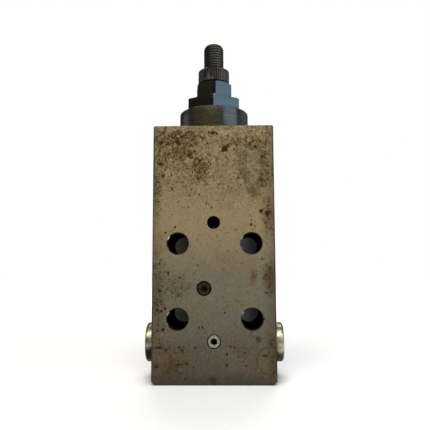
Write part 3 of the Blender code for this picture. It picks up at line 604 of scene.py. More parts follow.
# The ground colour grows lighter from the foot to the top: partly the bar's own tone, partly painted light
# falling from above.
steel.colour(STEEL_FOOT)
steel.coat(steel.z.fade(5 * MM, 66 * MM), STEEL_WAIST)
steel.coat(steel.z.fade(62 * MM, 102 * MM), STEEL_HIGH)
steel.coat(steel.z.fade(106 * MM, 135 * MM), STEEL_TOP)
mottle = steel.grain(24 * MM, detail=4, roughness=0.6)
steel.coat(mottle.fade(0.48, 0.72) * 0.4, STEEL_WARM)
clouds = steel.grain(15 * MM, detail=4, roughness=0.6, shift=3.7)
steel.coat(clouds.fade(0.52, 0.72) * 0.35, STEEL_GREY)
fine = steel.grain(0.9 * MM, roughness=0.65)
steel.coat(fine.fade(0.35, 0.8) * 0.4, OIL_STAIN)
streaks = steel.grain(1.0 * MM, detail=2, stretch=(0.35, 0.35, 22))
steel.coat(streaks.fade(0.45, 0.8) * 0.25, STEEL_GREY)


def near(ripple, x, z, across, up, ragged=1.6):
    """Distance from a stain's middle in the front view, as a share of its half sizes, its rim frayed."""
    sideways = (ripple.finish.x - x * MM) / (across * MM)
    upwards = (ripple.finish.z - z * MM) / (up * MM)
    return diagonal(sideways, upwards) + (ripple - 0.5) * ragged


ripple = steel.grain(3.0 * MM, shift=1.3)
BROWN_CLOUDS = (
    (-35, 159, 9, 9, 0.8), (-21, 159, 18, 8, 1.2), (-34, 147, 8, 13, 0.8), (-20, 150, 14, 8, 1.0),
    (-9, 139, 9, 12, 1.0), (-22, 141, 14, 8, 0.6), (4, 158, 14, 5, 0.5), (14, 158, 12, 6, 0.8),
    (27, 155, 12, 9, 0.9), (21, 149, 4, 8, 0.6), (33, 133, 6, 8, 0.9), (32, 147, 5, 9, 0.9),
    (29, 134, 12, 24, 0.35), (36, 108, 5, 14, 0.85), (-38, 124, 4, 20, 0.7), (27, 126, 6, 5, 0.5),
    (-36, 58, 6, 28, 0.6), (-24, 62, 9, 9, 0.5), (36, 67, 5, 12, 0.9), (-28, 22, 14, 5, 0.4),
    (-26, 12, 12, 10, 0.5), (25.5, 68, 3, 6, 0.5), (37, 20, 4, 16, 0.5), (17, 22, 6, 5, 0.35),
)
rust_zone = most(*(near(ripple, *place).fade(1.35, 0.25) * strength for *place, strength in BROWN_CLOUDS))
rust_zone = most(rust_zone * on_front, near_top * 0.4)
steel.coat(rust_zone * (0.3 + ripple * 0.6), RUST_BROWN)

grains = steel.grain(1.4 * MM, roughness=0.7, shift=5.2)
steel.coat(grains.fade(0.47, 0.33) * (near_top * 0.34 + 0.08), STEEL_PALE)
steel.coat(grains.fade(0.52, 0.63) * (rust_zone * 0.75 + near_top * 0.15 + 0.1), RUST_OLIVE)
small = steel.grain(1.25 * MM, roughness=0.6, shift=8.1)
large = steel.grain(2.4 * MM, roughness=0.65, shift=2.9)
specks = most((small + rust_zone * 0.12).fade(0.64, 0.69), (large + rust_zone * 0.1).fade(0.66, 0.7))
steel.coat(specks * 0.92, RUST_SPECK)

RUST_PATCHES = (
    (-20, 149, 5, 6, 0.35), (-25, 151, 2.5, 4, 0.5), (36, 69, 3.5, 8, 0.4), (26, 68, 2, 4, 0.3),
    (-39.2, 141, 1.2, 8, 0.6), (39, 138, 1.2, 8, 0.4), (-15, 62, 8, 3, 0.15), (-28, 12, 9, 7, 0.12),
)
for *place, strength in RUST_PATCHES:
    steel.coat(near(ripple, *place).fade(1.2, 0.2) * on_front * strength, RUST_RED)

smear_half = steel.z.fade(118 * MM, 150 * MM) * (5.0 * MM) + 3.2 * MM
smear = diagonal((steel.x - 25.5 * MM) / smear_half, (steel.z - 141 * MM) / (15 * MM))
smear = smear + (ripple - 0.5) * 1.8 + (clouds - 0.5) * 1.2
steel.coat(smear.fade(1.3, 0.5) * on_front * 0.3, STEEL_GREY)
smear_rim = smear.fade(1.5, 1.1) * smear.fade(0.65, 1.0) * steel.z.fade(158 * MM, 138 * MM)
steel.coat(smear_rim * on_front * 0.5, OIL_STAIN)
SMEAR_LINES = ((20.8, 142, 2.0, 11), (24.5, 124.5, 3.6, 3.2), (31.0, 129.5, 3.4, 3.2), (22.5, 132, 1.8, 6))
for place in SMEAR_LINES:
    steel.coat(near(ripple, *place).fade(1.25, 0.4) * on_front * 0.38, OIL_STAIN)
RING_MARKS = ((35.3, 15.2, 8.3), (-36.0, 14.5, 9.0))
for x, z, reach in RING_MARKS:
    ring = near(ripple, x, z, reach, reach, ragged=0.3)
    steel.coat(ring.fade(1.03, 0.95) * on_front * 0.1, STEEL_WARM)
    line = ring.fade(1.09, 1.02) * ring.fade(0.88, 0.99)
    steel.coat(line * mottle.fade(0.3, 0.5) * on_front * 0.7, OIL_STAIN)

DROPS = (
    (7.6, 152.5, 2.3), (6.4, 151.2, 1.3), (9.6, 154.6, 1.0), (31.0, 110.7, 1.3), (35.4, 109.1, 2.0),
    (24.5, 101.8, 0.85),
    (-0.2, 163.3, 1.3), (-3.0, 163.8, 0.9), (2.4, 162.8, 0.9),
    (3.8, 128.8, 0.7), (16.4, 132.8, 0.7), (-9.4, 121.7, 0.6), (-25.2, 100.3, 0.8), (-31.4, 96.7, 0.7),
    (-16.3, 113.5, 0.6), (27.8, 153.9, 0.8), (26.3, 157.8, 0.8), (-34.9, 156.7, 1.2), (-30.1, 156.0, 0.9),
    (-34.5, 142.4, 1.2), (-33.4, 134.4, 1.1), (32.2, 146.7, 1.0), (-3.9, 156.1, 0.8), (13.8, 151.7, 0.7),
    (-35.1, 76.5, 0.7), (-29.5, 70.3, 1.0), (-35.0, 59.3, 1.2), (-36.4, 46.9, 1.0), (-31.3, 48.0, 0.9),
    (-33.5, 46.4, 0.8), (-32.6, 34.8, 1.1), (-36.0, 33.9, 0.8), (-7.2, 36.1, 0.8), (-9.3, 35.8, 0.6),
    (7.2, 45.0, 0.7), (-34.7, 23.5, 1.1), (-36.2, 23.3, 0.8), (-30.4, 22.3, 0.9), (-22.2, 23.5, 0.8),
    (-20.0, 21.1, 0.8), (-12.1, 23.2, 0.7), (10.4, 24.1, 0.7), (13.1, 23.5, 0.7), (8.2, 19.3, 0.7),
    (-17.0, 13.4, 0.9), (-22.7, 12.8, 0.8), (8.2, 12.2, 0.8), (20.3, 11.9, 0.6), (-17.8, 4.0, 0.8),
    (-36.7, 11.6, 1.2), (32.7, 18.1, 0.9), (30.8, 18.4, 0.6), (31.5, 79.6, 0.7),
)
FINE_RIM_UP_TO = 1.2
drops = []
for x, z, reach in DROPS:
    rim, ragged = (small, 2.6) if reach <= FINE_RIM_UP_TO else (ripple, 1.6)
    drops.append(near(rim, x, z, reach, reach, ragged).fade(1.15, 0.75))
drops = most(*drops)
steel.coat(drops * on_front * 0.95, RUST_SPECK)
OIL_SPOTS = ((28.4, 28.4, 2.1), (-0.8, 3.2, 2.3))
for x, z, reach in OIL_SPOTS:
    steel.coat(near(ripple, x, z, reach, reach, ragged=0.8).fade(1.15, 0.7) * on_front * 0.6, RUST_SPECK)

# Painted shade: the front face is darker towards its left and right rims and towards its foot.
right_rim = steel.x.fade(30 * MM, 39.5 * MM)
left_rim = steel.x.fade(-33 * MM, -39.5 * MM)
foot = steel.z.fade(12 * MM, 1 * MM)
rim_and_foot_shade = most(right_rim * 0.35, left_rim * 0.25, foot * 0.5)
steel.coat(rim_and_foot_shade * on_front, SHADE_BROWN)
across = abs(steel.x)
edge = most(
    across.fade(block_side - 1.1 * MM, block_side - 0.6 * MM),
    steel.z.fade(block_top - 0.7 * MM, block_top - 0.45 * MM) * 0.6,
    steel.z.fade(0.75 * MM, 0.45 * MM),
)
steel.coat(edge * on_front * 0.7, EDGE_DARK)
pitting = most(specks, drops * on_front)
steel.rough(0.46 + fine.fade(0.2, 0.8) * 0.14 + pitting * 0.2)
steel.relief(fine * 0.35 + streaks * 0.25 - pitting * 0.6, 0.05 * MM)

# Bore walls: the drilled steel's dark tone with painted shade laid over it, so that they show near black.
BORE_STEEL_AND_SHADE = paint(10, 12, 10)
BORE_DARK = paint(3, 3, 3)
CHAMFER_BRIGHT = paint(196, 202, 208)
CHAMFER_DULL = paint(50, 48, 40)
# CHAMFER_GLINTS lists painted highlights on the bolt holes' chamfers: angle, reach and strength of each
# bright metallic spot.
CHAMFER_GLINTS = ((150, 1.5, 0.9), (206, 1.2, 0.15))
bored = Finish("drilled_steel", specular=0.0)
rifling = bored.grain(1.0 * MM, detail=2, stretch=(6, 0.25, 6))
bored.colour(BORE_STEEL_AND_SHADE)
bored.coat(rifling.fade(0.3, 0.8), BORE_DARK)
at_mouth = bored.y.fade(block_front + 0.75 * MM, block_front + 0.6 * MM)
chamfer_glint = []
for place in bolt_places:
    for angle, reach, strength in CHAMFER_GLINTS:
        rim_x = (place.x + BOLT_HOLE * math.cos(math.radians(angle))) / MM
        rim_z = (place.z + BOLT_HOLE * math.sin(math.radians(angle))) / MM
        spot = near(rifling, rim_x, rim_z, reach, reach, ragged=0.25)
        chamfer_glint.append(spot.fade(1.2, 0.3) * strength)
chamfer_glint = most(*chamfer_glint)
bored.coat(at_mouth * 0.8, CHAMFER_DULL)
bored.coat(at_mouth * chamfer_glint, CHAMFER_BRIGHT)
bored.feed("Metallic", at_mouth * chamfer_glint)
bored.rough(0.6 - at_mouth * 0.3)
bored.relief(rifling, 0.03 * MM)

block.data.materials.append(steel.material)
block.data.materials.append(bored.material)


def outside_block(face):
    """Whether a face lies on the block's own outside, and not in a bore or on a bore's chamfer."""
    middle, facing = face.center, face.normal
    if abs(facing.x) > 0.9:
        return abs(middle.x) > block_side - MM
    if abs(facing.y) > 0.9:
        return abs(middle.y) > block_back - CLOSE
    if abs(facing.z) > 0.9:
        return middle.z > block_top - CLOSE or middle.z < block_low.z + CLOSE
    return abs(middle.x) > block_side - 4 * MM or middle.z > block_top - 0.9 * MM and abs(facing.z) > 0.3


for face in block.data.polygons:
    face.material_index = 0 if outside_block(face) else 1

SMOOTH_UP_TO = math.radians(30)


def finish_piece(piece, finish, node, body=None):
    """Gives a piece its material and slot, hides the imported node it stands for, and, unless it bends
    between two, gives it its body.
    """
    if not piece.data.materials:
        piece.data.materials.append(finish.material)
    alone(piece)
    bpy.ops.object.shade_smooth_by_angle(angle=SMOOTH_UP_TO)
    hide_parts(node)
    if body:
        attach(piece, body)


finish_piece(block, steel, "valve_body", "root")

RUBBER = paint(26, 26, 27)
RUBBER_BLOOM = paint(48, 48, 48)
rubber = Finish("black_rubber", roughness=0.55)
bloom = rubber.grain(2.5 * MM, detail=4, roughness=0.6)
rubber.colour(RUBBER)
rubber.coat(bloom.fade(0.5, 0.75), RUBBER_BLOOM)
rubber.rough(0.45 + bloom * 0.25)
rubber.relief(rubber.grain(0.4 * MM, detail=2), 0.01 * MM)

CORD_SIDES = 14


def rubber_ring(name, node, mean, wire, height, place=(0, 0, 0), turn=UPWARDS, body="root"):
    """Spins a ring from the round section of its cord, and lays it in its groove."""
    section = {"vertices": CORD_SIDES, "radius": wire / 2}
    ring = primitive("circle", name, **section, location=(mean, 0, height), rotation=UPRIGHT)
    open_up()
    bpy.ops.mesh.spin(steps=ROUND, angle=math.tau, center=(0, 0, 0), axis=(0, 0, 1))
    close_up()
    finish_piece(lay(ring, place, turn), rubber, node, body)


PORT_RING = {"mean": PORT_RING_MEAN, "wire": 2.1 * MM, "height": -1.15 * MM}
for port, port_height in PORT_HEIGHTS.items():
    port_place = (0, block_back, port_height)
    rubber_ring(f"{port}_o_ring", f"{port}_port_ring", **PORT_RING, place=port_place, turn=TO_BACK)


# Front plugs: two small hexagon-socket screws that close drillings in the front face.
# The middle one sits a millimetre below the face and is oily brown, the lower one is flush and bright.
def drop_slivers(piece):
    """Merges points that a cut or bevel left in one place, and takes out faces of no area."""
    alone(piece)
    open_up()
    bpy.ops.mesh.remove_doubles(threshold=DOUBLES)
    bpy.ops.mesh.dissolve_degenerate(threshold=2 * DOUBLES)
    bpy.ops.object.mode_set(mode="OBJECT")


SHARP = math.radians(25)


def soften(piece, width, segments=2):
    """Rounds a piece's sharp edges, as handling and deburring do."""
    work_over(piece, "BEVEL", width=width, segments=segments, limit_method="ANGLE", angle_limit=SHARP)
    drop_slivers(piece)


def hexagon(name, across_flats, low, high, turn=0.0):
    """A hexagonal bar about Z with one corner to the front, turned on by the given angle."""
    return primitive(
        "cylinder",
        name,
        vertices=6,
        radius=across_flats / math.sqrt(3),
        depth=high - low,
        location=(0, 0, (low + high) / 2),
        rotation=(0, 0, turn),
    )


SCREW_SIDES = 72
SOCKET_LEAD = 0.25 * MM
# Painted shade deep in the sockets: near black, laid on the faces below dark_below.
SOCKET_SHADE = paint(12, 9, 5)
socket_shade = Finish("painted_socket_shade", roughness=0.6, specular=0.2)
socket_shade.colour(SOCKET_SHADE)
socket_shade.coat(socket_shade.grain(0.8 * MM), BLACK)


def socket_screw(name, finish, place, radius, length, recess, chamfer, key, key_depth, dark_below):
    """A headless screw with a hexagon socket, turned on Z and then laid into the front face."""
    top = -recess
    screw = lathe(
        name,
        [
            (radius - chamfer, top - length), (radius, top - length + chamfer),
            (radius, top - chamfer), (radius - chamfer, top),
        ],
        segments=SCREW_SIDES,
    )
    drill(screw, hexagon("key", key, top - key_depth, top + CLEAR))
    lead = lathe(
        "lead",
        [
            (key / 2 - SOCKET_LEAD, top - 2 * SOCKET_LEAD),
            (key / math.sqrt(3) + SOCKET_LEAD, top + SOCKET_LEAD),
        ],
        segments=SCREW_SIDES,
    )
    drill(screw, lead)
    soften(screw, 0.06 * MM)
    screw.data.materials.append(finish.material)
    screw.data.materials.append(socket_shade.material)
    # Faces deep inside the key's hexagon take the painted shade.
    for face in screw.data.polygons:
        deep = face.center.z < top - dark_below
        narrow = face.center.xy.length < key / math.sqrt(3) + CLOSE / 2
        face.material_index = 1 if deep and narrow and face.center.z > top - length + CLOSE else 0
    return lay(screw, place, TO_FRONT)


OILY_STEEL = paint(78, 62, 34)
OILY_DARK = paint(36, 28, 15)
MIDDLE_SCREW_SHADE = paint(7, 5, 3)
oily = Finish("oily_screw_steel", metallic=0.75, specular=0.1)
film = oily.grain(1.6 * MM, roughness=0.6)
oily.colour(OILY_STEEL)
oily.coat(film.fade(0.35, 0.7), OILY_DARK)
# Painted shade: darker over the socket in the middle, and in a ring at the rim, where the screw sits below
# the face.
core = near(film, MIDDLE_PLACE.x / MM, MIDDLE_PLACE.z / MM, 3.3, 3.3, ragged=0.3)
socket_and_rim_shade = most(core.fade(1.0, 0.2), core.fade(1.2, 1.32) * 0.8)
oily.coat(socket_and_rim_shade, MIDDLE_SCREW_SHADE)
oily.rough(0.3 + film * 0.25)
oily.relief(film, 0.03 * MM)
middle_screw = socket_screw(
    "middle_screw", oily, MIDDLE_PLACE, radius=4.55 * MM, length=9.0 * MM, recess=1.0 * MM,
    chamfer=0.6 * MM, key=5.0 * MM, key_depth=1.6 * MM, dark_below=3.5 * MM,
)
finish_piece(middle_screw, oily, "middle_plug", "root")

BRIGHT_STEEL = paint(158, 154, 142)
BRIGHT_WORN = paint(120, 114, 100)
bright = Finish("bright_screw_steel", metallic=0.85)
scratches = bright.grain(0.8 * MM, detail=4, roughness=0.7)
bright.colour(BRIGHT_STEEL)
bright.coat(scratches.fade(0.45, 0.75), BRIGHT_WORN)
bright.rough(0.32 + scratches * 0.25)
bright.relief(scratches, 0.02 * MM)
lower_screw = socket_screw(
    "lower_screw", bright, LOWER_PLACE, radius=3.9 * MM, length=8.0 * MM, recess=0.2 * MM,
    chamfer=0.2 * MM, key=4.0 * MM, key_depth=4.0 * MM, dark_below=0.4 * MM,
)
finish_piece(lower_screw, bright, "lower_plug", "root")


# Spool train: a hardened and ground spool, with a spring and a turned spring cup at either end.
# It slides in the cross bore behind the end plugs, and all of it is wet with oil.
def carried_over(finish, *nodes):
    """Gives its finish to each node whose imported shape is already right."""
    for node in nodes:
        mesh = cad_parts[node].data
        if not mesh.materials:
            mesh.materials.append(finish.material)
        for index in range(len(mesh.materials)):
            mesh.materials[index] = finish.material


GROUND_STEEL = paint(168, 168, 162)
GROUND_SHADE = paint(120, 120, 114)
OIL_FILM = paint(96, 84, 56)
ground = Finish("ground_steel", metallic=0.95)
wheel_marks = ground.grain(0.5 * MM, stretch=(0.3, 6, 6))
ground.colour(GROUND_STEEL)
ground.coat(wheel_marks.fade(0.35, 0.75), GROUND_SHADE)
oil = ground.grain(6 * MM, roughness=0.6, shift=2.0)
ground.coat(oil.fade(0.5, 0.75) * 0.5, OIL_FILM)
ground.rough(0.16 + wheel_marks * 0.12)
ground.relief(wheel_marks, 0.004 * MM)

SPRING_WIRE = paint(92, 90, 84)
SPRING_SHADE = paint(54, 50, 44)
wire_steel = Finish("oiled_spring_wire", metallic=0.9)
drawn = wire_steel.grain(0.8 * MM, detail=4, roughness=0.6)
wire_steel.colour(SPRING_WIRE)
wire_steel.coat(drawn.fade(0.4, 0.7), SPRING_SHADE)
wire_steel.rough(0.24 + drawn * 0.16)
wire_steel.relief(drawn, 0.008 * MM)

carried_over(ground, "main_spool", "spring_cup_left", "spring_cup_right")

WIRE_SIDES = 16
COIL_STEPS = 40
END_TURN_CLOSING = 0.4
GROUND_AWAY = 0.3


def cut_flat(height, outward):
    """In edit mode, takes away what lies past a height and closes the cut."""
    cut = {"plane_co": (0, 0, height), "plane_no": (0, 0, outward), "threshold": DOUBLES / 10}
    bpy.ops.mesh.select_all(action="SELECT")
    bpy.ops.mesh.bisect(**cut, use_fill=True, clear_outer=True)


def coil_spring(name, length, mean, wire, turns):
    """Round wire wound about Z from height 0, its end turns closed down and ground flat."""
    section = {"vertices": WIRE_SIDES, "radius": wire / 2}
    spring = primitive("circle", name, **section, location=(mean / 2, 0, 0), rotation=UPRIGHT)
    steps = COIL_STEPS * turns
    work_over(spring, "SCREW", angle=math.tau * turns, screw_offset=length,
              steps=steps, render_steps=steps)
    above_seat = wire * (0.5 - GROUND_AWAY)
    for vertex in spring.data.vertices:
        share = (vertex.index // WIRE_SIDES) / steps
        rise = share - END_TURN_CLOSING / turns * math.sin(math.tau * share)
        vertex.co.z += above_seat + (length - 2 * above_seat) * rise - length * share
    open_up()
    bpy.ops.mesh.fill_holes(sides=0)
    cut_flat(0, -1)
    cut_flat(length, 1)
    face_outwards()
    return spring


SPOOL_SPRING = {"mean": 9.2 * MM, "wire": 1.2 * MM, "turns": 6}
SIDES = (("left", -1, TO_LEFT), ("right", 1, TO_RIGHT))
for side, sign, turn in SIDES:
    spring_low, spring_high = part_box(f"spool_spring_{side}")
    length = spring_high.x - spring_low.x
    spring = coil_spring(f"{side}_centring_spring", length, **SPOOL_SPRING)
    on_cup = Vector((min(spring_low.x * sign, spring_high.x * sign) * sign, 0, SPOOL_HEIGHT))
    lay(spring, on_cup, turn)
    finish_piece(spring, wire_steel, f"spool_spring_{side}")
    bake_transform(spring)


# End plugs: round-headed screw plugs, turned from bar, with a 12 mm hexagon socket in the head.
# They are zinc-plated and yellow chromated, which gives gold with green and brown stains.
PLUG_HEAD = 13.0 * MM
PLUG_CHAMFER = 0.9 * MM
PLUG_OUT = 6.2 * MM
PLUG_THREAD = 10.7 * MM
PLUG_THREAD_END = 9.7 * MM
PLUG_THREAD_CHAMFER = 0.8 * MM
PLUG_NECK = 10.5 * MM
PLUG_NECK_LENGTH = 2.8 * MM
PLUG_SEAT = 0.3 * MM
PLUG_KEY = 12.0 * MM
PLUG_KEY_DEPTH = 7.5 * MM
PLUG_SPRING_BORE = 6.0 * MM
PLUG_SPRING_FLOOR = -4.0 * MM
PLUG_FACE_INSET = 3.2 * MM
PLUG_FACE_DISH = 0.25 * MM
PLUG_RING = {"mean": 11.6 * MM, "wire": 1.6 * MM, "height": -1.0 * MM}


def copy_of(piece, name):
    """Another piece of the same shape, with a mesh of its own."""
    other = piece.copy()
    other.data = piece.data.copy()
    other.name = name
    bpy.context.scene.collection.objects.link(other)
    return other


ZINC_GOLD = paint(214, 204, 166)
ZINC_GREEN = paint(142, 150, 122)
ZINC_BROWN = paint(100, 80, 46)
ZINC_ROSE = paint(186, 158, 124)
ZINC_SHADE = paint(26, 25, 15)
zinc = Finish("yellow_zinc_plate", metallic=0.9)
tarnish = zinc.grain(5 * MM, detail=4, roughness=0.6)
bands = zinc.grain(1.2 * MM, stretch=(0.5, 4, 4), shift=5.0)
zinc.colour(ZINC_GOLD)
zinc.coat(tarnish.fade(0.4, 0.62), ZINC_GREEN)
zinc.coat(bands.fade(0.5, 0.75) * 0.5, ZINC_ROSE)
stains = zinc.grain(2.2 * MM, detail=4, roughness=0.7, shift=2.0)
zinc.coat(stains.fade(0.56, 0.68) * 0.8, ZINC_BROWN)
on_left = zinc.x.fade(10 * MM, -10 * MM)
# Painted shade with ZINC_SHADE: darker towards the plugs' feet and tops, over the whole left plug, on the
# left plug beside the block, and inside the sockets.
zinc.coat(zinc.z.fade(25 * MM, 19 * MM) * on_left * 0.97, ZINC_SHADE)
zinc.coat(zinc.z.fade(22 * MM, 16 * MM) * 0.93, ZINC_SHADE)
zinc.coat(zinc.z.fade(30 * MM, 34.5 * MM) * 0.68, ZINC_SHADE)
zinc.coat(on_left * 0.3, ZINC_SHADE)
zinc_across = abs(zinc.x)
beside_block = zinc_across.fade(block_side + 2.4 * MM, block_side + 0.6 * MM)
zinc.coat(beside_block * on_left * 0.75, ZINC_SHADE)
off_axis = diagonal(zinc.y, zinc.z - SPOOL_HEIGHT)
in_socket = off_axis.fade(PLUG_KEY * 0.58, PLUG_KEY * 0.5)
in_socket = in_socket * zinc_across.fade(block_side + PLUG_OUT - 0.8 * MM, block_side + PLUG_OUT - 4 * MM)
zinc.coat(in_socket * 0.85, ZINC_SHADE)
zinc.rough(0.34 + stains.fade(0.5, 0.7) * 0.26)
zinc.relief(bands * 0.5 + stains * 0.5, 0.03 * MM)

plug = lathe(
    "plug",
    [
        (PLUG_SPRING_BORE, PLUG_SPRING_FLOOR), (PLUG_SPRING_BORE, -PLUG_THREAD_END),
        (PLUG_THREAD - PLUG_THREAD_CHAMFER, -PLUG_THREAD_END),
        (PLUG_THREAD, PLUG_THREAD_CHAMFER - PLUG_THREAD_END), (PLUG_THREAD, -PLUG_NECK_LENGTH),
        (PLUG_NECK, -PLUG_NECK_LENGTH + PLUG_THREAD - PLUG_NECK), (PLUG_NECK, PLUG_SEAT),
        (PLUG_HEAD, PLUG_SEAT), (PLUG_HEAD, PLUG_OUT - PLUG_CHAMFER),
        (PLUG_HEAD - PLUG_CHAMFER, PLUG_OUT), (PLUG_HEAD - PLUG_FACE_INSET, PLUG_OUT),
        (PLUG_HEAD - PLUG_FACE_INSET - PLUG_FACE_DISH, PLUG_OUT - PLUG_FACE_DISH),
    ],
)
drill(plug, hexagon("key", PLUG_KEY, PLUG_OUT - PLUG_KEY_DEPTH, PLUG_OUT + CLEAR))
soften(plug, 0.15 * MM)
for side, sign, turn in SIDES:
    plug_place = (sign * block_side, 0, SPOOL_HEIGHT)
    own = lay(copy_of(plug, f"{side}_screw_plug"), plug_place, turn)
    finish_piece(own, zinc, f"end_plug_{side}", "root")
    rubber_ring(f"{side}_plug_o_ring", f"end_plug_ring_{side}", **PLUG_RING, place=plug_place, turn=turn)
bpy.data.objects.remove(plug, do_unlink=True)


# Relief valve inside the block: a hardened seat with its sealing ring, a poppet, a spring and a plate.
# The spindle's foot pushes the plate down, and so sets the pressure at which the poppet lifts.
# The spring is halved at its middle turn.
carried_over(ground, "relief_seat", "relief_poppet", "spring_plate")
carried_over(rubber, "seat_ring")

RELIEF_SPRING = {"mean": 14.0 * MM, "wire": 2.4 * MM, "turns": 9}
spring_low, spring_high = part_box("relief_spring")
length = spring_high.z - spring_low.z
lower_half = coil_spring("relief_spring_lower", length, **RELIEF_SPRING)
upper_half = copy_of(lower_half, "relief_spring_upper")
on_poppet = Vector((0, 0, spring_low.z))
still = Vector((0, 0, (spring_low.z + spring_high.z) / 2))
on_plate = Vector((0, 0, spring_high.z))
for half, outward, first, second, start, end in (
    (lower_half, 1, "poppet", "root", on_poppet, still),
    (upper_half, -1, "root", "spring_carrier", still, on_plate),
):
    alone(half)
    open_up()
    cut_flat(length / 2, outward)
    face_outwards()
    lay(half, on_poppet, UPWARDS)
    finish_piece(half, wire_steel, "relief_spring")
    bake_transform(half)


# Spacer collar: a plain steel ring between block and cartridge, turned all over and darkened.
# Its outside keeps the fine grooves of the turning tool.
COLLAR_EDGE = 0.5 * MM
COLLAR_SIDES = 192
collar_low, collar_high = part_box("spacer_collar")
collar_radius = collar_high.x
collar = lathe(
    "collar",
    [
        (CARTRIDGE_BORE, collar_low.z), (collar_radius - COLLAR_EDGE, collar_low.z),
        (collar_radius, collar_low.z + COLLAR_EDGE), (collar_radius, collar_high.z - COLLAR_EDGE),
        (collar_radius - COLLAR_EDGE, collar_high.z), (CARTRIDGE_BORE, collar_high.z),
    ],
    segments=COLLAR_SIDES,
    ring=True,
)
soften(collar, 0.2 * MM, segments=3)

COLLAR_OLIVE = paint(88, 82, 58)
COLLAR_REFLECTED_GREY = paint(59, 63, 64)
COLLAR_SHADE = paint(38, 36, 27)
COLLAR_LEFT_SHADE = paint(52, 57, 60)
COLLAR_WEAR_AND_LIGHT = paint(128, 132, 130)
turned = Finish("dark_turned_steel", metallic=0.75)
tool_lines = turned.grain(1.0 * MM, detail=2, stretch=(40, 40, 0.22))
patches = turned.grain(5 * MM, detail=4, roughness=0.65, stretch=(1.4, 1.4, 0.6))
right_side_reflection = (turned.x + (patches - 0.5) * (14 * MM)).fade(2 * MM, 9 * MM)
turned.colour(COLLAR_OLIVE)
# Painted reflection: a grey band over the right side, its edge made ragged by the patches.
turned.coat(right_side_reflection, COLLAR_REFLECTED_GREY)
# Painted shade: the left side dark blue.
turned.coat(turned.x.fade(-11 * MM, -16 * MM) * 0.85, COLLAR_LEFT_SHADE)
turned.coat(tool_lines.fade(0.5, 0.8) * 0.35, COLLAR_WEAR_AND_LIGHT)
dust = turned.grain(0.8 * MM, roughness=0.7, shift=4.0)
turned.coat(dust.fade(0.6, 0.75) * 0.5, COLLAR_WEAR_AND_LIGHT)
collar_rim = turned.z.fade(collar_high.z - 0.75 * MM, collar_high.z - 0.55 * MM)
# Painted light: the right rim lighter, as a lamp on the right lights it.
turned.coat(turned.x.fade(16.5 * MM, 22 * MM), COLLAR_WEAR_AND_LIGHT)
# Painted shade: the top rim darkened, so that its chamfer doesn't shine.
turned.coat(collar_rim * 0.85, COLLAR_SHADE)
turned.rough(0.2 + patches.fade(0.3, 0.7) * 0.12 + collar_rim * 0.3)
turned.relief(tool_lines, 0.01 * MM)
finish_piece(collar, turned, "spacer_collar", "root")


# Cartridge housing: hexagon bar, turned down to a round part below the hexagon, and blackened.
# The hexagon is a spanner size of 36 mm and has almost sharp ends.
HOUSING_FLATS = 35.6 * MM
HOUSING_TURN = math.radians(0.3)
HOUSING_END = 0.5 * MM
HOUSING_RADIUS = 13.5 * MM
HOUSING_NOSE = 0.8 * MM
HOUSING_GROOVE = 11.4 * MM
HOUSING_GROOVE_LOW = 2.2 * MM
HOUSING_GROOVE_WIDTH = 2.3 * MM
HOUSING_SPRING_BORE = 9.5 * MM
HOUSING_THREAD = 8.3 * MM
HOUSING_STOP = 167.6 * MM
HOUSING_MOUTH = 0.5 * MM
HOUSING_RING_WIRE = 1.9 * MM
HOUSING_HEX_LIFT = 0.3 * MM
RING_PLAY = 0.1 * MM
FINE_ROUND = 144
housing_low, housing_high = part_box("cartridge_housing")
hex_low = collar_high.z + HOUSING_HEX_LIFT
corner = HOUSING_FLATS / math.sqrt(3)
groove_low = housing_low.z + HOUSING_GROOVE_LOW
housing = lathe(
    "housing",
    [
        (HOUSING_SPRING_BORE, housing_low.z), (HOUSING_RADIUS - HOUSING_NOSE, housing_low.z),
        (HOUSING_RADIUS, housing_low.z + HOUSING_NOSE), (HOUSING_RADIUS, groove_low),
        (HOUSING_GROOVE, groove_low), (HOUSING_GROOVE, groove_low + HOUSING_GROOVE_WIDTH),
        (HOUSING_RADIUS, groove_low + HOUSING_GROOVE_WIDTH), (HOUSING_RADIUS, hex_low),
        (corner + CLEAR, hex_low), (corner + CLEAR, housing_high.z - HOUSING_END - CLEAR),
        (corner - HOUSING_END, housing_high.z), (HOUSING_THREAD + HOUSING_MOUTH, housing_high.z),
        (HOUSING_THREAD, housing_high.z - HOUSING_MOUTH), (HOUSING_THREAD, HOUSING_STOP),
        (HOUSING_SPRING_BORE, HOUSING_STOP),
    ],
    segments=FINE_ROUND,
    ring=True,
)
housing_bar = hexagon(
    "hex_bar", HOUSING_FLATS, housing_low.z - CLEAR, housing_high.z + CLEAR, HOUSING_TURN)
shape_with(housing, housing_bar, "INTERSECT")
soften(housing, 0.14 * MM)

BLACKENED = paint(74, 82, 86)
BLACKENED_BROWN = paint(68, 68, 62)
BLACKENED_LEFT_REFLECTION = paint(92, 90, 78)
BLACKENED_RIGHT_REFLECTION = paint(52, 66, 78)
BARE_STEEL_AND_GLINT = paint(190, 196, 198)
blackened = Finish("blackened_steel", metallic=1.0)
cloud = blackened.grain(4 * MM, detail=4, roughness=0.6)
blackened.colour(BLACKENED)
blackened.coat(cloud.fade(0.45, 0.7) * 0.5, BLACKENED_BROWN)
brush = blackened.grain(0.6 * MM, stretch=(8, 8, 0.5), shift=2.0)
blackened.coat(brush.fade(0.6, 0.8) * 0.15, BARE_STEEL_AND_GLINT)
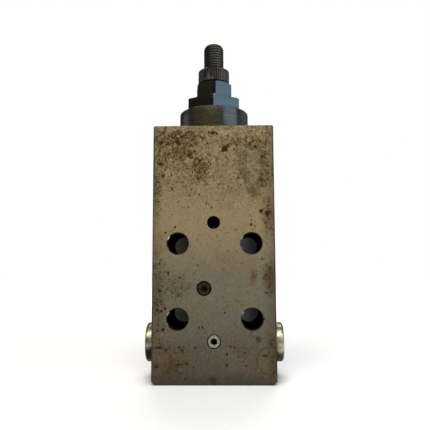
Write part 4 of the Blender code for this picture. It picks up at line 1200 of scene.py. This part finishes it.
# Painted reflections: the hexagons' left half takes a neutral grey-brown and their right half a blue, as
# the lamps on either side colour them.
blackened.coat(blackened.x.fade(0.6 * MM, -1.2 * MM), BLACKENED_LEFT_REFLECTION)
on_housing = blackened.z.fade(housing_high.z + 0.1 * MM, housing_high.z)
blackened.coat(blackened.x.fade(0, MM) * (on_housing * 0.08 + 0.4), BLACKENED_RIGHT_REFLECTION)
radius = diagonal(blackened.x, blackened.y)
rubbed = blackened.grain(1.4 * MM, shift=4.4)
housing_ends = most(
    blackened.z.fade(housing_high.z - 0.9 * MM, housing_high.z - 0.3 * MM),
    blackened.z.fade(hex_low + 1.4 * MM, hex_low + 0.4 * MM) * 0.8,
)
# Worn bare steel at the hexagon's corners near its ends, painted bright enough to stand for their
# highlight as well.
near_hex_corner = radius.fade(corner - 1.1 * MM, corner - 0.3 * MM)
corner_wear_and_glint = near_hex_corner * housing_ends * rubbed.fade(0.38, 0.55)
blackened.coat(corner_wear_and_glint, BARE_STEEL_AND_GLINT)
blackened.rough(0.2 + cloud * 0.12)
blackened.relief(brush * 0.6 + cloud * 0.4, 0.015 * MM)
finish_piece(housing, blackened, "cartridge_housing", "root")
rubber_ring(
    "housing_o_ring",
    "housing_ring",
    mean=HOUSING_GROOVE + HOUSING_RING_WIRE / 2 + RING_PLAY,
    wire=HOUSING_RING_WIRE,
    height=groove_low + HOUSING_GROOVE_WIDTH / 2,
)


# Lock nut: a tall 24 mm hexagon nut, blackened like the housing, both ends chamfered at 30 degrees.
# Its underside holds a sealing ring that lies on the housing.
NUT_FLATS = 23.8 * MM
NUT_TURN = math.radians(6.5)
NUT_FACE = 11.9 * MM
NUT_CHAMFER = math.radians(30)
NUT_BORE = 8.3 * MM
NUT_RECESS = 9.9 * MM
NUT_RECESS_DEPTH = 2.0 * MM
nut_low, nut_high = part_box("lock_nut")
nut_corner = NUT_FLATS / math.sqrt(3) + CLEAR
nut_slope = (nut_corner - NUT_FACE) * math.tan(NUT_CHAMFER)
nut = lathe(
    "nut",
    [
        (NUT_RECESS, nut_low.z), (NUT_FACE, nut_low.z), (nut_corner, nut_low.z + nut_slope),
        (nut_corner, nut_high.z - nut_slope), (NUT_FACE, nut_high.z), (NUT_BORE, nut_high.z),
        (NUT_BORE, nut_low.z + NUT_RECESS_DEPTH), (NUT_RECESS, nut_low.z + NUT_RECESS_DEPTH),
    ],
    segments=FINE_ROUND,
    ring=True,
)
nut_bar = hexagon("hex_bar", NUT_FLATS, nut_low.z - CLEAR, nut_high.z + CLEAR, NUT_TURN)
shape_with(nut, nut_bar, "INTERSECT")
soften(nut, 0.12 * MM)
finish_piece(nut, blackened, "lock_nut", "nut")

NUT_RING_INNER = 8.3 * MM
NUT_RING_OUTER = 9.6 * MM
nut_ring_low, nut_ring_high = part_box("lock_nut_ring")
nut_ring = lathe(
    "nut_seal",
    [
        (NUT_RING_INNER, nut_ring_low.z), (NUT_RING_OUTER, nut_ring_low.z),
        (NUT_RING_OUTER, nut_ring_high.z), (NUT_RING_INNER, nut_ring_high.z),
    ],
    ring=True,
)
soften(nut_ring, 0.2 * MM)
finish_piece(nut_ring, rubber, "lock_nut_ring", "nut_ring")


# Adjusting spindle: foot, thread, serrated ring and stud turned from one bar, phosphated dark brown.
# A hand knob fits on the serrations and is held by the stud's thread.
SPINDLE = 8.0 * MM
SPINDLE_FOOT_CHAMFER = 1.0 * MM
CLIP_GROOVE = 7.2 * MM
CLIP_GROOVE_LOW = 160.0 * MM
CLIP_GROOVE_HIGH = 161.5 * MM
SEAL_GROOVE = 6.55 * MM
SEAL_GROOVE_LOW = 169.0 * MM
SEAL_GROOVE_WIDTH = 1.65 * MM
SERRATION_LOW = 206.0 * MM
SERRATION_HIGH = 215.5 * MM
SERRATION_CREST = 11.15 * MM
SERRATION_DEPTH = 0.38 * MM
SERRATION_RIBS = 50
SERRATION_END = 0.4 * MM
STUD_RADIUS = 7.12 * MM
STUD_SPARE = 0.3
STUD_DOME = ((-STUD_SPARE, -4.0), (0.5, -1.8), (1.3, -0.7), (2.5, 0.0))
THREAD_PITCH = 1.84 * MM
THREAD_DEPTH = 0.42 * MM
THREAD_LAND = 0.46
spindle_low, spindle_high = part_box("adjusting_spindle")
stud_root = SERRATION_HIGH - 3.0 * MM
spindle = lathe(
    "spindle",
    [
        (SPINDLE - SPINDLE_FOOT_CHAMFER, spindle_low.z),
        (SPINDLE, spindle_low.z + SPINDLE_FOOT_CHAMFER), (SPINDLE, CLIP_GROOVE_LOW),
        (CLIP_GROOVE, CLIP_GROOVE_LOW), (CLIP_GROOVE, CLIP_GROOVE_HIGH), (SPINDLE, CLIP_GROOVE_HIGH),
        (SPINDLE, SEAL_GROOVE_LOW), (SEAL_GROOVE, SEAL_GROOVE_LOW),
        (SEAL_GROOVE, SEAL_GROOVE_LOW + SEAL_GROOVE_WIDTH),
        (SPINDLE, SEAL_GROOVE_LOW + SEAL_GROOVE_WIDTH), (SPINDLE, stud_root),
    ],
)


def serrated_ring():
    """A circle with two points on each rib and two in each groove, extruded up, its ends drawn in."""
    outline = [
        (SERRATION_CREST - SERRATION_END, SERRATION_LOW),
        (SERRATION_CREST, SERRATION_LOW + SERRATION_END),
        (SERRATION_CREST, SERRATION_HIGH - SERRATION_END),
        (SERRATION_CREST - SERRATION_END, SERRATION_HIGH),
    ]
    start = (0, 0, SERRATION_LOW)
    ring = primitive("circle", "ribs", vertices=4 * SERRATION_RIBS, radius=outline[0][0], location=start)
    bpy.ops.object.mode_set(mode="EDIT")
    bpy.ops.mesh.select_mode(type="VERT")
    bpy.ops.mesh.select_all(action="DESELECT")
    shape = bmesh.from_edit_mesh(ring.data)
    for point in shape.verts:
        point.select_set(point.index % 4 > 1)
    bmesh.update_edit_mesh(ring.data)
    groove = 1 - SERRATION_DEPTH / SERRATION_CREST
    bpy.ops.transform.resize(value=(groove, groove, 1), center_override=start)
    bpy.ops.mesh.select_all(action="SELECT")
    extrude_through(outline)
    close_up()
    return ring


def threaded_stud():
    """A column of thread teeth, swept once round while it climbs one pitch, then cut to the stud."""
    low, high = stud_root - 3 * THREAD_PITCH, spindle_high.z + 2 * THREAD_PITCH
    land = THREAD_LAND * THREAD_PITCH / 2
    tooth = (
        (STUD_RADIUS - THREAD_DEPTH, land),
        (STUD_RADIUS, THREAD_PITCH / 2 - land),
        (STUD_RADIUS, THREAD_PITCH / 2 + land),
        (STUD_RADIUS - THREAD_DEPTH, THREAD_PITCH - land),
    )
    points = []
    while low < high:
        points += [(radius, low + height) for radius, height in tooth]
        low += THREAD_PITCH
    thread = primitive("plane", "thread", size=MM)
    open_up()
    bpy.ops.mesh.merge(type="CENTER")
    here = Vector((0, 0, 0))
    for step, (radius, height) in enumerate(points):
        move = Vector((radius, 0, height)) - here
        if step:
            bpy.ops.mesh.extrude_vertices_move(TRANSFORM_OT_translate={"value": move})
        else:
            bpy.ops.transform.translate(value=move)
        here += move
    bpy.ops.object.mode_set(mode="OBJECT")
    work_over(thread, "SCREW", steps=ROUND, render_steps=ROUND, screw_offset=THREAD_PITCH)
    open_up()
    close_up(doubles=2 * DOUBLES)
    blank = lathe(
        "stud_blank",
        [
            (STUD_RADIUS + STUD_SPARE * MM, stud_root),
            *((STUD_RADIUS - inward * MM, spindle_high.z + along * MM) for inward, along in STUD_DOME),
        ],
    )
    shape_with(thread, blank, "INTERSECT")
    return thread


shape_with(spindle, serrated_ring(), "UNION")
shape_with(spindle, threaded_stud(), "UNION")
drop_slivers(spindle)

PHOSPHATE = paint(52, 50, 43)
PHOSPHATE_DARK = paint(38, 36, 30)
PHOSPHATE_ROOT = paint(16, 14, 11)
PHOSPHATE_WEAR_AND_LIGHT = paint(118, 112, 98)
phosphate = Finish("dark_phosphate", metallic=0.7)
soot = phosphate.grain(3 * MM, detail=4, roughness=0.6)
phosphate.colour(PHOSPHATE)
phosphate.coat(soot.fade(0.35, 0.65), PHOSPHATE_DARK)
rub = phosphate.grain(1.2 * MM, stretch=(1, 1, 5), shift=6.0)
phosphate.coat(rub.fade(0.62, 0.78) * 0.6, PHOSPHATE_WEAR_AND_LIGHT)
radius = diagonal(phosphate.x, phosphate.y)
on_stud = phosphate.z.fade(SERRATION_HIGH - 0.1 * MM, SERRATION_HIGH + 0.1 * MM)
stud_root_mask = radius.fade(STUD_RADIUS - 0.15 * MM, STUD_RADIUS - 0.4 * MM) * on_stud
rib_root_mask = radius.fade(SERRATION_CREST - 0.12 * MM, SERRATION_CREST - 0.38 * MM) * (1 - on_stud)
phosphate.coat(most(stud_root_mask, rib_root_mask) * 0.85, PHOSPHATE_ROOT)
# Painted light: the crests of the thread and the ribs are lighter towards the right, where the light comes
# from.
stud_crest = radius.fade(STUD_RADIUS - 0.25 * MM, STUD_RADIUS - 0.02 * MM) * on_stud
rib_crest = radius.fade(SERRATION_CREST - 0.12 * MM, SERRATION_CREST - 0.02 * MM)
lit_side = phosphate.x.fade(-1 * MM, 7 * MM) * 0.5 + 0.05
phosphate.coat(most(stud_crest, rib_crest) * lit_side, PHOSPHATE_WEAR_AND_LIGHT)
HAND_WEAR = (
    (-3.9, 208.8, 0.4, 3.4), (-2.6, 207.6, 0.3, 1.4), (-0.8, 207.4, 0.3, 1.2), (-5.4, 207.2, 0.5, 0.8),
)
handled = most(*(near(soot, *spot, ragged=0.8).fade(1.2, 0.4) for spot in HAND_WEAR))
phosphate.coat(handled * phosphate.y.fade(0, -MM) * 0.8, PHOSPHATE_WEAR_AND_LIGHT)
# Painted shade: the stud's tip is darkened, so that its chamfer doesn't shine.
stud_tip = phosphate.z.fade(spindle_high.z - 2.2 * MM, spindle_high.z - 1.2 * MM)
phosphate.coat(stud_tip * 0.6, PHOSPHATE_ROOT)
phosphate.rough(0.36 + soot * 0.2 + stud_tip * 0.3)
phosphate.relief(phosphate.grain(0.35 * MM), 0.012 * MM)
finish_piece(spindle, phosphate, "adjusting_spindle", "spindle")

SPINDLE_RING_WIRE = 1.25 * MM
rubber_ring(
    "spindle_o_ring",
    "spindle_ring",
    mean=SEAL_GROOVE + RING_PLAY + SPINDLE_RING_WIRE / 2,
    wire=SPINDLE_RING_WIRE,
    height=SEAL_GROOVE_LOW + SEAL_GROOVE_WIDTH / 2,
    body="spindle",
)
carried_over(wire_steel, "spindle_circlip")
